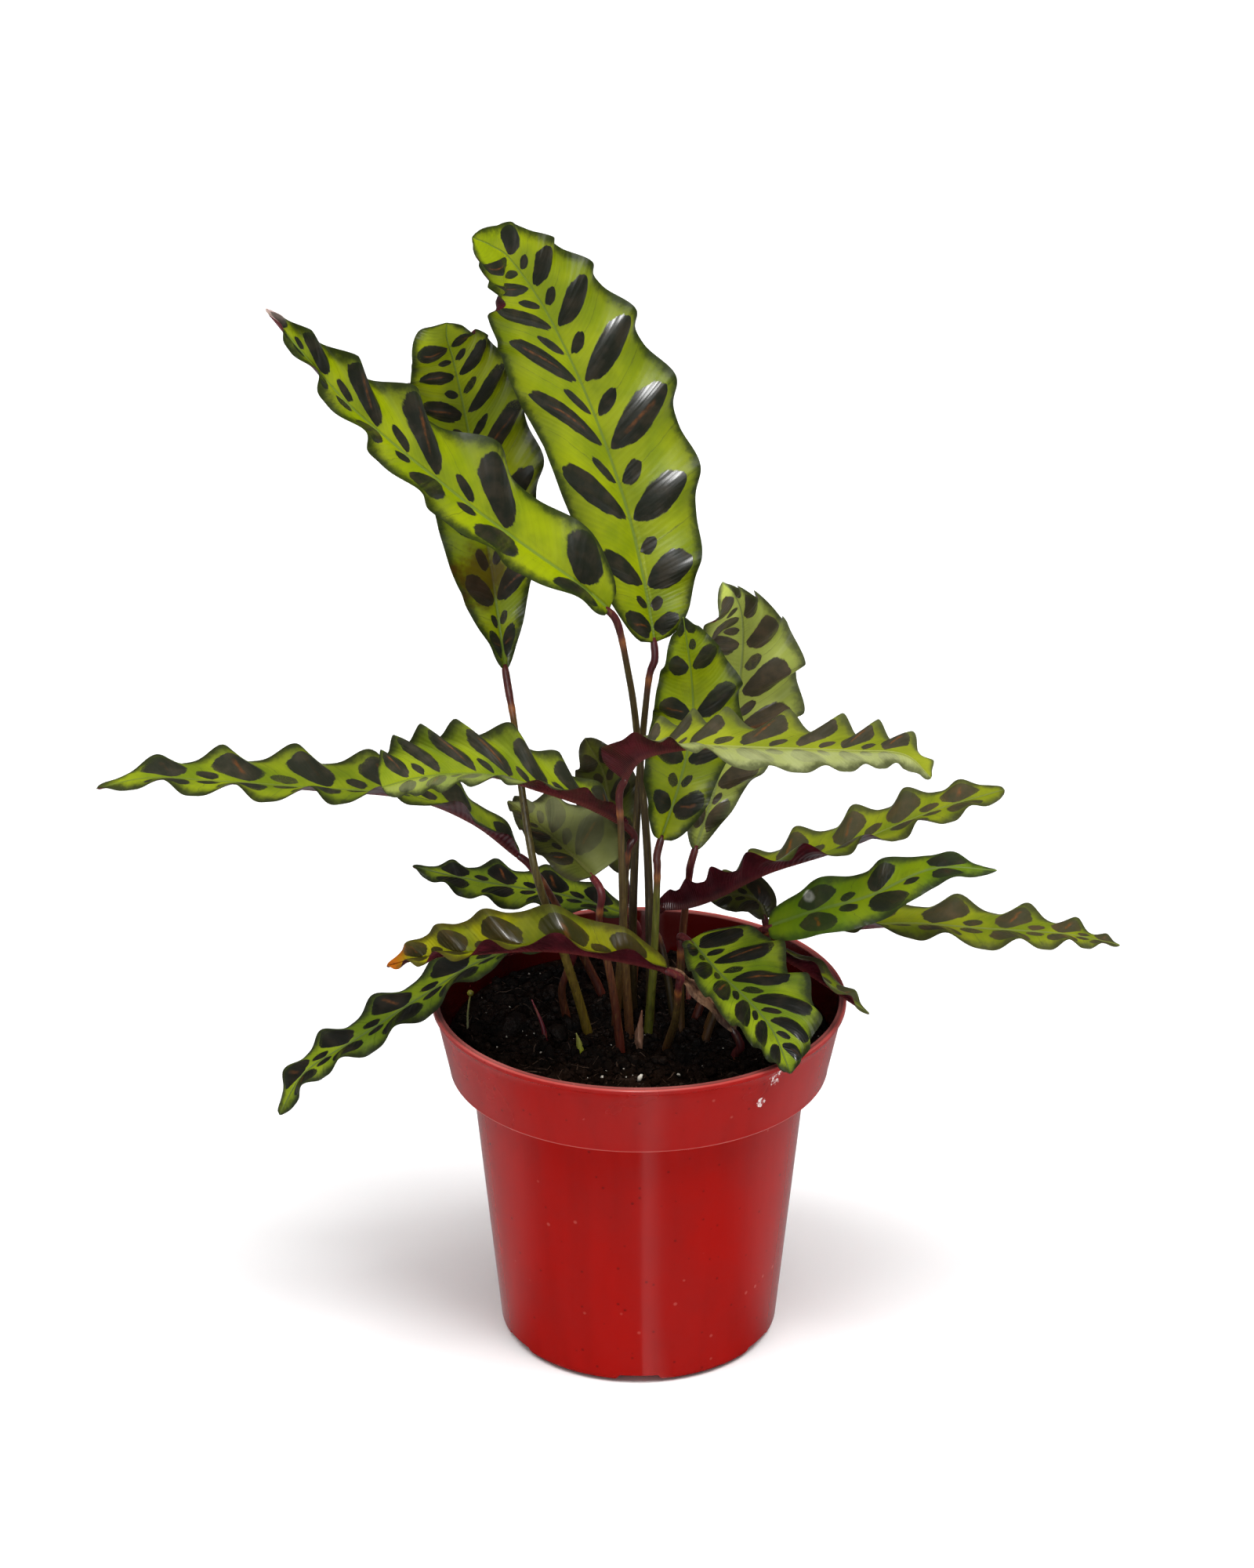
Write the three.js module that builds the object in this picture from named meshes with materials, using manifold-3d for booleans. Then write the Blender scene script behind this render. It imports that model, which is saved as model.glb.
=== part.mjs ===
// Rattlesnake plant in its plastic nursery pot: long wavy patterned leaves on thin stalks.
// Millimetres, +Z up. The origin is the centre of the pot's underside, on the surface it stands on.
// The front of the plant looks along -Y.
import * as THREE from "three";
import { mergeVertices } from "three/addons/utils/BufferGeometryUtils.js";
import Module from "manifold-3d";

const wasm = await Module();
wasm.setup();

// Pot: a thin injection-moulded pot with a deep tapered collar and a notched foot ring.
const POT_HEIGHT = 123;
const RIM_RADIUS = 70;
const RIM_LIP = 1.2;
const COLLAR_BOTTOM_Z = 97;
const COLLAR_BOTTOM_RADIUS = 64.2;
const BODY_TOP_RADIUS = 57;
const BODY_BOTTOM_RADIUS = 47.4;
const BASE_CORNER = 3;
const CORNER_SAG = 0.9;
const POT_WALL = 1.4;
const LIP_HEIGHT = 2;
const EDGE_ROUNDING = 0.6;
const FOOT_HEIGHT = 3.2;
const FOOT_WIDTH = 9;
const FOOT_LAND = 2;
const FLOOR_THICKNESS = 1.8;
const FLOOR_CORNER = 2;
const CENTRE_FOOT_RADIUS = 15;
const POT_SIDES = 48;
const FOOT_NOTCHES = 6;
const NOTCH_WIDTH_BELOW = 17;
const NOTCH_WIDTH_ABOVE = 13;
const NOTCH_HEIGHT = 2.8;
const NOTCH_OVERRUN = 3;
const DRAIN_HOLES = 6;
const DRAIN_RADIUS = 3.5;
const DRAIN_CIRCLE = 29;
const DRAIN_SIDES = 10;

// Soil: loose peat, a little below the rim.
const SOIL_LEVEL = 108;
const SOIL_CROWN = 2;
const SOIL_RINGS = 7;

// The soil's ripples: broad ones along X and Y, and finer slanting ones. Radians per millimetre.
const RIPPLE_HEIGHT = 1.6;
const BROAD_RIPPLE = [0.21, 0.17];
const BROAD_SHIFT = [1.3, -0.4];
const FINE_RIPPLE = [0.43, -0.38];
const FINE_SHARE = 0.6;

// Clearance between any two pieces that touch.
const GAP = 0.35;

// Leaves: blade and stalk proportions that all leaves share.
const BLADE_THICKNESS = 0.8;
const MIDRIB_DEPTH = 0.7;
const BLADE_END_HALF_WIDTH = 0.8;
const VEIN_SLANT = [0.7, 0.7];
const BLUNTNESS = [0.5, 0.8];
const EVEN_TRIM = [[1, 1, 1, 1, 1], [1, 1, 1, 1, 1]];
const FULL_WAVES = [1, 1];
const SCALLOP = 0.08;
const CREST_SHARPNESS = 1.4;
const MARGIN_RISE = 1.5;
const ROWS_PER_WAVE = 4;
const COLUMNS_PER_HALF = 2;
const CURVE_SAMPLES = 400;
const STALK_TOP_RADIUS = 1.0;
const STALK_ROOT_RADIUS = 1.7;
const STALK_DEPTH = 16;
const STALK_SIDES = 6;
const STALK_STEPS = 11;
const STALK_STRAIGHT_END = 6;
const STALK_RADII = [STALK_ROOT_RADIUS, STALK_TOP_RADIUS];

const COLOURS = {
  pot: { color: 0x9c1512, roughness: 0.32, metalness: 0 },
  soil: { color: 0x17110d, roughness: 0.95, metalness: 0 },
  leaf: { color: 0x6f9417, roughness: 0.42, metalness: 0 },
  stalk: { color: 0x6b5a24, roughness: 0.5, metalness: 0 },
  shoot: { color: 0x7a1f2a, roughness: 0.45, metalness: 0 },
  dry: { color: 0x8a6a48, roughness: 0.8, metalness: 0 },
};

// Every leaf, with its places in millimetres.
// midrib: from the stalk to the tip. halves: widest half-width left and right of the midrib,
// seen from above with the tip ahead. face: where the upper side looks at the base, middle and tip.
// fold: degrees that each half lifts from flat, left then right, at the base, middle and tip.
// veins: shares of the length where the main veins start. Each carries one wave to the margin.
// lift: height of the margin's waves. belly: where along its length the blade is widest.
// stalk: from the soil to near the blade.
// Some leaves differ from the common values:
// slant: how far a vein of the left and of the right half runs forward, as a share of that half-width.
// trim: factors on the left and the right half-width at the quarters of the length.
// blunt: powers of the outline at the base and the tip, small for a round end.
// calm: share of the waves that the left and the right half have. scallop: depth of the margin's cuts.
const LEAVES = [
  {
    name: "tall_right",
    midrib: [
      [5, 12, 246], [1, 16, 268], [-5, 18, 293], [-16, 15, 327],
      [-29, 7, 359], [-40, -4, 380], [-46, -11, 387], [-52, -15, 391],
    ],
    halves: [29, 27],
    slant: [1.6, 0.6],
    trim: [[0.85, 0.85, 0.8, 1.05, 1.7], [1, 1, 1, 0.94, 0.8]],
    face: [[0.2, -0.9, 0.3], [0.3, -0.9, 0.2], [0.25, -0.8, 0.5]],
    fold: [[30, 22, 15], [22, 10, 5]],
    veins: [0.03, 0.115, 0.25, 0.405, 0.555, 0.69, 0.8, 0.9],
    lift: 2.6,
    belly: 0.47,
    blunt: [0.5, 0.6],
    calm: [0.45, 1],
    stalk: [[-2, 14], [-2, 11, 150], [0, 10, 197], [3, 11, 232]],
  },
  {
    name: "tall_left",
    midrib: [
      [-44, 8, 238], [-46, 12, 252], [-51, 15, 290], [-55, 12, 318],
      [-59, 6, 343], [-61, 2, 353], [-61, 0, 359],
    ],
    halves: [19, 21],
    slant: [0.8, 1.1],
    trim: [[1.1, 1.1, 0.92, 0.97, 1.45], [1, 1, 1, 1, 0.95]],
    face: [[0.2, -0.9, 0.3], [0.2, -0.9, 0.3], [0.1, -0.8, 0.5]],
    fold: [[30, 15, 10], [25, 10, 5]],
    veins: [0.06, 0.185, 0.38, 0.565, 0.71, 0.83, 0.92],
    lift: 2.6,
    belly: 0.6,
    blunt: [0.6, 0.45],
    stalk: [[-17, -2], [-25, -8, 142], [-34, -17, 176], [-39, -7, 205], [-41, 1, 221]],
  },
  {
    name: "left_diagonal",
    midrib: [
      [-10, 0, 262], [-20, -5, 273], [-44, -12, 294], [-67, -22, 317],
      [-89, -32, 341], [-102, -38, 359], [-114, -44, 377],
    ],
    halves: [12, 18],
    slant: [0.7, 1.6],
    trim: [[0.8, 1, 0.9, 0.6, 0.3], [1, 1, 1, 1, 1]],
    face: [[0.1, -0.75, 0.6], [0.15, -0.8, 0.5], [0.2, -0.8, 0.5]],
    fold: [[35, 25, 30], [20, 8, 10]],
    veins: [0.09, 0.29, 0.48, 0.65, 0.82, 0.955],
    lift: 4,
    belly: 0.4,
    scallop: 0.2,
    stalk: [[4, 3], [3, 8, 168], [-1, 5, 219], [-4, 3, 241]],
  },
  {
    name: "centre_upright",
    midrib: [[7, -8, 184], [13, -6, 203], [17, -6, 223], [17, -8, 240], [14, -14, 265]],
    halves: [13, 17],
    trim: [[1, 1.3, 1.15, 1.1, 1], [1, 0.8, 1, 1, 1]],
    face: [[0.2, -0.9, 0.3], [0.2, -0.9, 0.3], [0.1, -0.9, 0.3]],
    fold: [[30, 12, 8], [30, 8, 5]],
    veins: [0.14, 0.345, 0.54, 0.76, 0.95],
    lift: 2,
    belly: 0.5,
    stalk: [[3, -3], [5, -7, 140], [6, -9, 172]],
  },
  {
    name: "right_upright",
    midrib: [
      [19, 28, 164], [25, 31, 183], [31, 32, 207], [34, 28, 231],
      [34, 22, 250], [31, 14, 262], [27, 12, 267],
    ],
    halves: [19, 22],
    trim: [[1, 0.8, 1, 1.4, 2.2], [0.6, 0.8, 1, 0.85, 0.2]],
    face: [[0.1, -0.9, 0.3], [0.15, -0.95, 0.2], [0.1, -0.8, 0.5]],
    fold: [[30, 12, 10], [20, 5, 5]],
    veins: [0.1, 0.22, 0.38, 0.53, 0.71, 0.82, 0.93],
    lift: 4,
    belly: 0.6,
    stalk: [[14, 30], [15, 31, 130], [17, 29, 152]],
  },
  {
    name: "right_arch",
    midrib: [
      [-5, -19, 210], [1, -25, 221], [16, -29, 226], [34, -32, 227],
      [66, -37, 228], [84, -40, 228], [93, -43, 221],
    ],
    halves: [15.5, 14],
    slant: [0.9, 0.8],
    trim: [[1, 1, 1.05, 1.2, 1.3], [1.3, 1.2, 0.8, 0.8, 0.8]],
    face: [[-0.4, 0.1, 0.9], [0, -0.05, 1], [0.2, -0.1, 1]],
    fold: [[30, 8, 5], [75, -12, -15]],
    veins: [0.06, 0.13, 0.2, 0.27, 0.425, 0.585, 0.715, 0.835],
    lift: 3.6,
    belly: 0.42,
    blunt: [0.5, 0.5],
    calm: [1, 0.5],
    stalk: [[-3, -7], [-5, -13, 150], [-6, -16, 190]],
  },
  {
    name: "left_arch",
    midrib: [
      [-4, -5, 188], [-18, -13, 199], [-32, -20, 207],
      [-50, -24, 214], [-69, -28, 215], [-83, -32, 213],
    ],
    halves: [12, 18],
    slant: [0.8, 1.0],
    trim: [[1.1, 1, 1, 1, 1], [1, 0.9, 1, 1, 1.3]],
    face: [[0.2, -0.4, 0.9], [-0.1, -0.55, 0.85], [-0.2, -0.55, 0.85]],
    fold: [[85, 60, 10], [20, 5, 5]],
    veins: [0.1, 0.22, 0.38, 0.52, 0.65, 0.78, 0.9],
    lift: 3.4,
    belly: 0.62,
    blunt: [0.5, 0.35],
    calm: [0.4, 1],
    stalk: [[-8, 2], [-6, -2, 140], [-4, -4, 176]],
  },
  {
    name: "far_left",
    midrib: [
      [-40, 14, 168], [-56, 12, 182], [-77, 9, 192], [-108, 4, 197],
      [-138, -2, 202], [-161, -6, 205], [-178, -10, 203],
    ],
    halves: [14, 16],
    face: [[0.3, -0.2, 0.95], [0, -0.32, 0.95], [-0.1, -0.3, 0.95]],
    fold: [[50, 32, 15], [15, 5, 5]],
    veins: [0.05, 0.17, 0.325, 0.48, 0.655, 0.83],
    lift: 3.2,
    belly: 0.5,
    stalk: [[-12, 24], [-18, 23, 124], [-28, 18, 148]],
  },
  {
    name: "back_left_small",
    midrib: [[-5, 34, 137], [-26, 38, 142], [-47, 42, 144], [-66, 44, 147], [-78, 45, 150]],
    halves: [10, 9],
    face: [[0.1, -0.45, 0.9], [0, -0.45, 0.9], [-0.1, -0.45, 0.9]],
    fold: [[30, 12, 5], [20, 8, 5]],
    veins: [0.12, 0.32, 0.55, 0.78],
    lift: 2.6,
    belly: 0.45,
    stalk: [[-2, 33], [-1, 34, 122]],
  },
  {
    name: "front_left_folded",
    midrib: [
      [9, -32, 148], [-9, -36, 154], [-30, -38, 158],
      [-55, -37, 156], [-71, -34, 153], [-83, -30, 148],
    ],
    halves: [12, 14],
    face: [[0, -0.75, 0.65], [0, -0.8, 0.6], [0, -0.8, 0.6]],
    fold: [[90, 95, 60], [10, 5, 5]],
    veins: [0.13, 0.33, 0.53, 0.72, 0.86],
    lift: 2.4,
    belly: 0.5,
    stalk: [[9, -14], [12, -22, 124], [13, -29, 140]],
  },
  {
    name: "right_upper",
    midrib: [
      [7, 12, 150], [16, 9, 152], [26, 6, 157], [43, 6, 166],
      [69, 8, 174], [98, 10, 186], [122, 12, 193],
    ],
    halves: [12, 14],
    trim: [[0.9, 1, 1.1, 1.15, 1.2], [1, 1, 1, 1, 1]],
    face: [[-0.3, 0.25, 0.9], [-0.2, -0.3, 0.9], [-0.2, -0.45, 0.9]],
    fold: [[10, 5, 5], [70, 45, 15]],
    veins: [0.03, 0.1, 0.17, 0.25, 0.37, 0.54, 0.7, 0.87],
    lift: 2.8,
    belly: 0.45,
    blunt: [0.5, 0.5],
    stalk: [[12, 9], [8, 11, 134]],
  },
  {
    name: "right_lower",
    midrib: [
      [56, -3, 149], [70, -4, 150], [90, -8, 153],
      [116, -12, 153], [141, -16, 153], [159, -20, 151],
    ],
    halves: [12, 10],
    face: [[0, -0.1, 1], [0, -0.25, 0.97], [0.1, -0.25, 0.97]],
    fold: [[20, 5, 0], [40, 10, 5]],
    veins: [0.05, 0.19, 0.4, 0.63, 0.81, 0.94],
    lift: 2.8,
    belly: 0.5,
    stalk: [[19, 8], [26, 8, 126], [38, 3, 143]],
  },
  {
    name: "right_middle",
    midrib: [[43, -8, 152], [58, -15, 161], [76, -20, 169], [96, -23, 180], [117, -24, 180]],
    halves: [10, 10],
    face: [[0, -0.6, 0.8], [0.05, -0.65, 0.75], [0, -0.5, 0.85]],
    fold: [[10, 5, 0], [10, 0, 5]],
    veins: [0.22, 0.5, 0.78],
    lift: 2,
    belly: 0.35,
    stalk: [[23, 1], [29, 0, 126], [36, -3, 143]],
  },
  {
    name: "right_olive",
    midrib: [[43, 9, 147], [40, 12, 152], [33, 15, 153], [24, 18, 150]],
    halves: [7, 8],
    face: [[0, -0.6, 0.8], [0, -0.6, 0.8], [0, -0.6, 0.8]],
    fold: [[15, 5, 5], [15, 5, 5]],
    veins: [0.25, 0.7],
    lift: 1,
    belly: 0.5,
    stalk: [[21, 16], [30, 15, 126], [40, 9, 138]],
  },
  {
    name: "front_right_broad",
    midrib: [[17, -10, 148], [26, -24, 143], [35, -38, 140], [43, -50, 135], [49, -60, 124]],
    halves: [21, 15],
    slant: [0.85, 0.85],
    trim: [[1.4, 1.3, 0.9, 1.1, 1.1], [1, 1, 1, 1, 1]],
    face: [[0, -0.6, 0.8], [0, -0.6, 0.8], [0.1, -0.7, 0.7]],
    fold: [[10, 0, -5], [45, 35, 20]],
    veins: [0.07, 0.2, 0.36, 0.54, 0.7, 0.85],
    lift: 1.8,
    belly: 0.5,
    stalk: [[14, -4], [14, -4, 128], [14, -4, 143]],
  },
  {
    name: "right_rim_small",
    midrib: [[44, -14, 147], [56, -19, 141], [66, -25, 136], [76, -31, 131]],
    halves: [6, 8],
    face: [[0.3, -0.2, 0.95], [0.3, -0.2, 0.95], [0.3, -0.2, 0.95]],
    fold: [[10, 10, 10], [60, 50, 30]],
    veins: [0.3, 0.7],
    lift: 1.4,
    belly: 0.4,
    stalk: [[22, -8], [28, -8, 126], [36, -11, 143]],
  },
  {
    name: "left_rim_long",
    midrib: [
      [-26, -3, 143], [-38, -6, 143], [-53, -10, 140], [-71, -14, 130],
      [-93, -20, 117], [-111, -26, 107], [-120, -30, 93],
    ],
    halves: [9, 11],
    trim: [[1, 1, 1, 1, 1], [1, 0.8, 0.8, 0.95, 1]],
    face: [[0, -0.4, 0.9], [-0.2, -0.45, 0.85], [-0.3, -0.4, 0.85]],
    fold: [[45, 15, 10], [5, 5, 5]],
    veins: [0.14, 0.3, 0.5, 0.7, 0.86],
    lift: 2.8,
    belly: 0.45,
    blunt: [0.5, 0.5],
    stalk: [[-24, 5], [-26, 2, 124]],
  },
  {
    name: "centre_front_small",
    midrib: [[-15, -22, 177], [-26, -8, 182], [-37, 6, 186], [-44, 14, 188]],
    halves: [9, 20],
    face: [[0, -0.35, 0.93], [0, -0.35, 0.93], [0, -0.35, 0.93]],
    fold: [[5, 5, 5], [5, 15, 10]],
    veins: [0.22, 0.5, 0.78],
    lift: 2,
    belly: 0.3,
    blunt: [0.42, 0.8],
    stalk: [[-6, -16], [-9, -19, 136], [-13, -23, 160]],
  },
  {
    name: "back_centre",
    midrib: [[-5, 20, 159], [-9, 22, 178], [-12, 20, 196], [-18, 14, 211]],
    halves: [12, 10],
    face: [[0.1, -0.9, 0.3], [0.1, -0.9, 0.3], [0.1, -0.9, 0.3]],
    fold: [[25, 12, 8], [25, 12, 8]],
    veins: [0.22, 0.5, 0.78],
    lift: 2,
    belly: 0.55,
    stalk: [[-6, 18], [-5, 18, 140]],
  },
  {
    name: "dried",
    dry: true,
    midrib: [[32, -19, 119], [26, -18, 127], [18, -15, 134], [10, -14, 140]],
    halves: [4, 4],
    face: [[-0.3, -0.8, 0.5], [-0.3, -0.8, 0.5], [-0.3, -0.8, 0.5]],
    fold: [[50, 50, 50], [50, 50, 50]],
    veins: [0.3, 0.7],
    lift: 1,
    belly: 0.5,
    stalk: [[32, -18]],
  },
];

// Young shoots and a dried sheath standing in the soil: route upward, thickness below and above.
const SHOOTS = [
  {
    name: "shoot_green",
    route: [[-19, -16], [-20, -16, 112], [-21, -17, 117]],
    radii: [1.4, 0.5],
    colour: "leaf",
  },
  {
    name: "shoot_red_left",
    route: [[-31, -11], [-32, -9, 114], [-36, -8, 125]],
    radii: [1.0, 0.5],
    colour: "shoot",
  },
  {
    name: "shoot_red_centre",
    route: [[17, 17], [17, 17, 114], [16, 18, 121]],
    radii: [1.2, 0.7],
    colour: "shoot",
  },
  {
    name: "dried_sheath",
    route: [[1, -12], [0, -13, 114], [1, -14, 124]],
    radii: [2.0, 0.6],
    colour: "dry",
  },
  {
    name: "seedling",
    route: [[-58, 2], [-58, 2, 114], [-57, 3, 122]],
    radii: [0.6, 0.6],
    colour: "leaf",
  },
];
const SHOOT_DEPTH = 6;
const SHOOT_STEPS = 4;

function material(name) {
  return new THREE.MeshStandardMaterial({ name, ...COLOURS[name] });
}

function namedMesh(name, geometry, colour) {
  const mesh = new THREE.Mesh(geometry, material(colour));
  mesh.name = name;
  return mesh;
}

// A closed mesh from a flat list of positions and triangle corners.
function indexedGeometry(positions, triangles) {
  const geometry = new THREE.BufferGeometry();
  geometry.setAttribute("position", new THREE.Float32BufferAttribute(positions, 3));
  geometry.setIndex(triangles);
  return geometry;
}

function solidOf(geometry, placed = new THREE.Matrix4()) {
  const bare = new THREE.BufferGeometry();
  bare.setAttribute("position", geometry.getAttribute("position").clone());
  if (geometry.index) bare.setIndex(geometry.index.clone());
  const merged = mergeVertices(bare.applyMatrix4(placed), 1e-4);
  return new wasm.Manifold(
    new wasm.Mesh({
      numProp: 3,
      vertProperties: merged.getAttribute("position").array,
      triVerts: new Uint32Array(merged.index.array),
    }),
  );
}

function geometryOf(solid) {
  const mesh = solid.getMesh();
  return indexedGeometry(Array.from(mesh.vertProperties), Array.from(mesh.triVerts));
}

// A profile of [radius, height] points turned round +Z.
function turned(profile, sides) {
  const lathe = new THREE.LatheGeometry(profile.map(([r, z]) => new THREE.Vector2(r, z)), sides);
  lathe.rotateX(Math.PI / 2);
  return lathe;
}

// The wall's radius at a height: outside below the collar, inside the collar, and inside anywhere.
function bodyRadius(z) {
  return BODY_BOTTOM_RADIUS + ((BODY_TOP_RADIUS - BODY_BOTTOM_RADIUS) * z) / COLLAR_BOTTOM_Z;
}

function collarInnerRadius(z) {
  const slope = (RIM_RADIUS - RIM_LIP - COLLAR_BOTTOM_RADIUS) / (POT_HEIGHT - COLLAR_BOTTOM_Z);
  return COLLAR_BOTTOM_RADIUS + slope * (z - COLLAR_BOTTOM_Z) - POT_WALL;
}

function innerRadius(z) {
  return z > COLLAR_BOTTOM_Z ? collarInnerRadius(z) : bodyRadius(z) - POT_WALL;
}

const FLOOR_TOP = FOOT_HEIGHT + FLOOR_THICKNESS;
const LEDGE_Z = COLLAR_BOTTOM_Z + POT_WALL;

function potSolid() {
  const profile = [
    [0, 0],
    [CENTRE_FOOT_RADIUS, 0],
    [CENTRE_FOOT_RADIUS + EDGE_ROUNDING, FOOT_HEIGHT],
    [BODY_BOTTOM_RADIUS - FOOT_WIDTH, FOOT_HEIGHT],
    [BODY_BOTTOM_RADIUS - BASE_CORNER - FOOT_LAND, 0],
    [BODY_BOTTOM_RADIUS - BASE_CORNER, 0],
    [BODY_BOTTOM_RADIUS - CORNER_SAG, CORNER_SAG],
    [bodyRadius(BASE_CORNER), BASE_CORNER],
    [bodyRadius(COLLAR_BOTTOM_Z), COLLAR_BOTTOM_Z],
    [COLLAR_BOTTOM_RADIUS - EDGE_ROUNDING, COLLAR_BOTTOM_Z],
    [COLLAR_BOTTOM_RADIUS, COLLAR_BOTTOM_Z + EDGE_ROUNDING],
    [RIM_RADIUS - RIM_LIP, POT_HEIGHT - LIP_HEIGHT - EDGE_ROUNDING],
    [RIM_RADIUS, POT_HEIGHT - LIP_HEIGHT],
    [RIM_RADIUS, POT_HEIGHT - EDGE_ROUNDING],
    [RIM_RADIUS - EDGE_ROUNDING, POT_HEIGHT],
    [RIM_RADIUS - RIM_LIP - EDGE_ROUNDING, POT_HEIGHT],
    [innerRadius(POT_HEIGHT - LIP_HEIGHT), POT_HEIGHT - LIP_HEIGHT],
    [collarInnerRadius(LEDGE_Z), LEDGE_Z],
    [bodyRadius(LEDGE_Z) - POT_WALL, LEDGE_Z],
    [innerRadius(FLOOR_TOP + FLOOR_CORNER), FLOOR_TOP + FLOOR_CORNER],
    [innerRadius(FLOOR_TOP) - FLOOR_CORNER, FLOOR_TOP],
    [0, FLOOR_TOP],
  ];
  let pot = solidOf(turned(profile, POT_SIDES));
  const notchShape = new THREE.Shape([
    new THREE.Vector2(-NOTCH_WIDTH_BELOW / 2, -NOTCH_OVERRUN),
    new THREE.Vector2(NOTCH_WIDTH_BELOW / 2, -NOTCH_OVERRUN),
    new THREE.Vector2(NOTCH_WIDTH_ABOVE / 2, NOTCH_HEIGHT),
    new THREE.Vector2(-NOTCH_WIDTH_ABOVE / 2, NOTCH_HEIGHT),
  ]);
  const depth = FOOT_WIDTH + 2 * NOTCH_OVERRUN;
  const notch = new THREE.ExtrudeGeometry(notchShape, { depth, bevelEnabled: false });
  notch.rotateX(Math.PI / 2);
  notch.translate(0, -BODY_BOTTOM_RADIUS + FOOT_WIDTH + NOTCH_OVERRUN, 0);
  const drain = new THREE.CylinderGeometry(DRAIN_RADIUS, DRAIN_RADIUS, 3 * FLOOR_TOP, DRAIN_SIDES);
  drain.rotateX(Math.PI / 2);
  drain.translate(0, -DRAIN_CIRCLE, 0);
  const turn = (share) => new THREE.Matrix4().makeRotationZ(share * 2 * Math.PI);
  for (let i = 0; i < FOOT_NOTCHES; i++) {
    pot = pot.subtract(solidOf(notch, turn(i / FOOT_NOTCHES)));
  }
  for (let i = 0; i < DRAIN_HOLES; i++) {
    pot = pot.subtract(solidOf(drain, turn((i + 0.5) / DRAIN_HOLES)));
  }
  return pot;
}

// Height of the crumbly soil above its level: a sum of slow ripples, flat at the wall.
function soilHeight(x, y) {
  const reach = Math.hypot(x, y) / innerRadius(SOIL_LEVEL);
  const alongX = Math.sin(BROAD_RIPPLE[0] * x + BROAD_SHIFT[0]);
  const alongY = Math.cos(BROAD_RIPPLE[1] * y + BROAD_SHIFT[1]);
  const ripples = alongX * alongY + FINE_SHARE * Math.sin(FINE_RIPPLE[0] * x + FINE_RIPPLE[1] * y);
  return SOIL_LEVEL + RIPPLE_HEIGHT * ripples * (1 - reach ** 4) + SOIL_CROWN * (1 - reach ** 2);
}

// The soil fills the pot to its level, with one flat-bottomed body and a rippled top.
function soilSolid() {
  const bottom = FLOOR_TOP + GAP;
  const wall = [
    [innerRadius(bottom) - FLOOR_CORNER - GAP, bottom],
    [innerRadius(FLOOR_TOP + FLOOR_CORNER) - GAP, FLOOR_TOP + FLOOR_CORNER + GAP],
    [bodyRadius(LEDGE_Z) - POT_WALL - GAP, LEDGE_Z + GAP],
    [collarInnerRadius(LEDGE_Z) - GAP, LEDGE_Z + GAP],
    [innerRadius(SOIL_LEVEL) - GAP, SOIL_LEVEL],
  ];
  const rings = [...wall];
  for (let ring = SOIL_RINGS - 1; ring > 0; ring--) {
    rings.push([((innerRadius(SOIL_LEVEL) - GAP) * ring) / SOIL_RINGS, null]);
  }
  const positions = [0, 0, bottom];
  for (const [radius, height] of rings) {
    for (let side = 0; side < POT_SIDES; side++) {
      const angle = (side * 2 * Math.PI) / POT_SIDES;
      const x = radius * Math.cos(angle);
      const y = radius * Math.sin(angle);
      positions.push(x, y, height ?? soilHeight(x, y));
    }
  }
  positions.push(0, 0, soilHeight(0, 0));
  const top = positions.length / 3 - 1;
  const triangles = [];
  for (let side = 0; side < POT_SIDES; side++) {
    const next = (side + 1) % POT_SIDES;
    triangles.push(0, 1 + next, 1 + side);
    for (let ring = 0; ring < rings.length - 1; ring++) {
      const low = 1 + ring * POT_SIDES;
      const high = low + POT_SIDES;
      triangles.push(low + side, low + next, high + next, low + side, high + next, high + side);
    }
    const last = 1 + (rings.length - 1) * POT_SIDES;
    triangles.push(last + side, last + next, top);
  }
  return solidOf(indexedGeometry(positions, triangles));
}

// A smooth curve through points, sampled evenly along its length.
function smoothRoute(points) {
  const places = points.map((point) => new THREE.Vector3(...point));
  const curve = new THREE.CatmullRomCurve3(places, false, "catmullrom", 0.5);
  curve.arcLengthDivisions = CURVE_SAMPLES;
  return curve;
}

// The value at u of three values given at the base, middle and tip.
function blend3([base, middle, tip], u) {
  return u < 0.5 ? base + (middle - base) * 2 * u : middle + (tip - middle) * (2 * u - 1);
}

// The value at u of values given at even steps from 0 to 1.
function between(values, u) {
  const step = Math.min(Math.floor(u * (values.length - 1)), values.length - 2);
  return THREE.MathUtils.lerp(values[step], values[step + 1], u * (values.length - 1) - step);
}

// Share of the widest half-width at u: a rounded spear, widest at the belly.
function spear(leaf, u) {
  const bent = u ** (Math.log(0.5) / Math.log(leaf.belly));
  const [base, tip] = leaf.blunt ?? BLUNTNESS;
  return Math.max(Math.sin(Math.PI * bent), 0) ** (base + (tip - base) * u);
}

// Number of the main vein at t: 1 at the first and 2 at the second, evenly between them, and at the
// same pace before the first and after the last.
function wavePhase({ veins }, t) {
  const next = veins.findIndex((vein) => vein > t);
  const high = next < 0 ? veins.length - 1 : Math.max(next, 1);
  return high + (t - veins[high - 1]) / (veins[high] - veins[high - 1]);
}

// Where along its length a blade's rows of points lie: on every vein, and evenly between them.
function rowPlaces({ veins }) {
  const stops = [0, ...veins, 1];
  const places = [0];
  stops.slice(1).forEach((stop, i) => {
    const from = stops[i];
    const pair = Math.min(Math.max(i, 1), veins.length - 1);
    const pace = veins[pair] - veins[pair - 1];
    const rows = Math.max(1, Math.round((ROWS_PER_WAVE * (stop - from)) / pace));
    for (let row = 1; row <= rows; row++) places.push(from + ((stop - from) * row) / rows);
  });
  return places;
}

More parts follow.
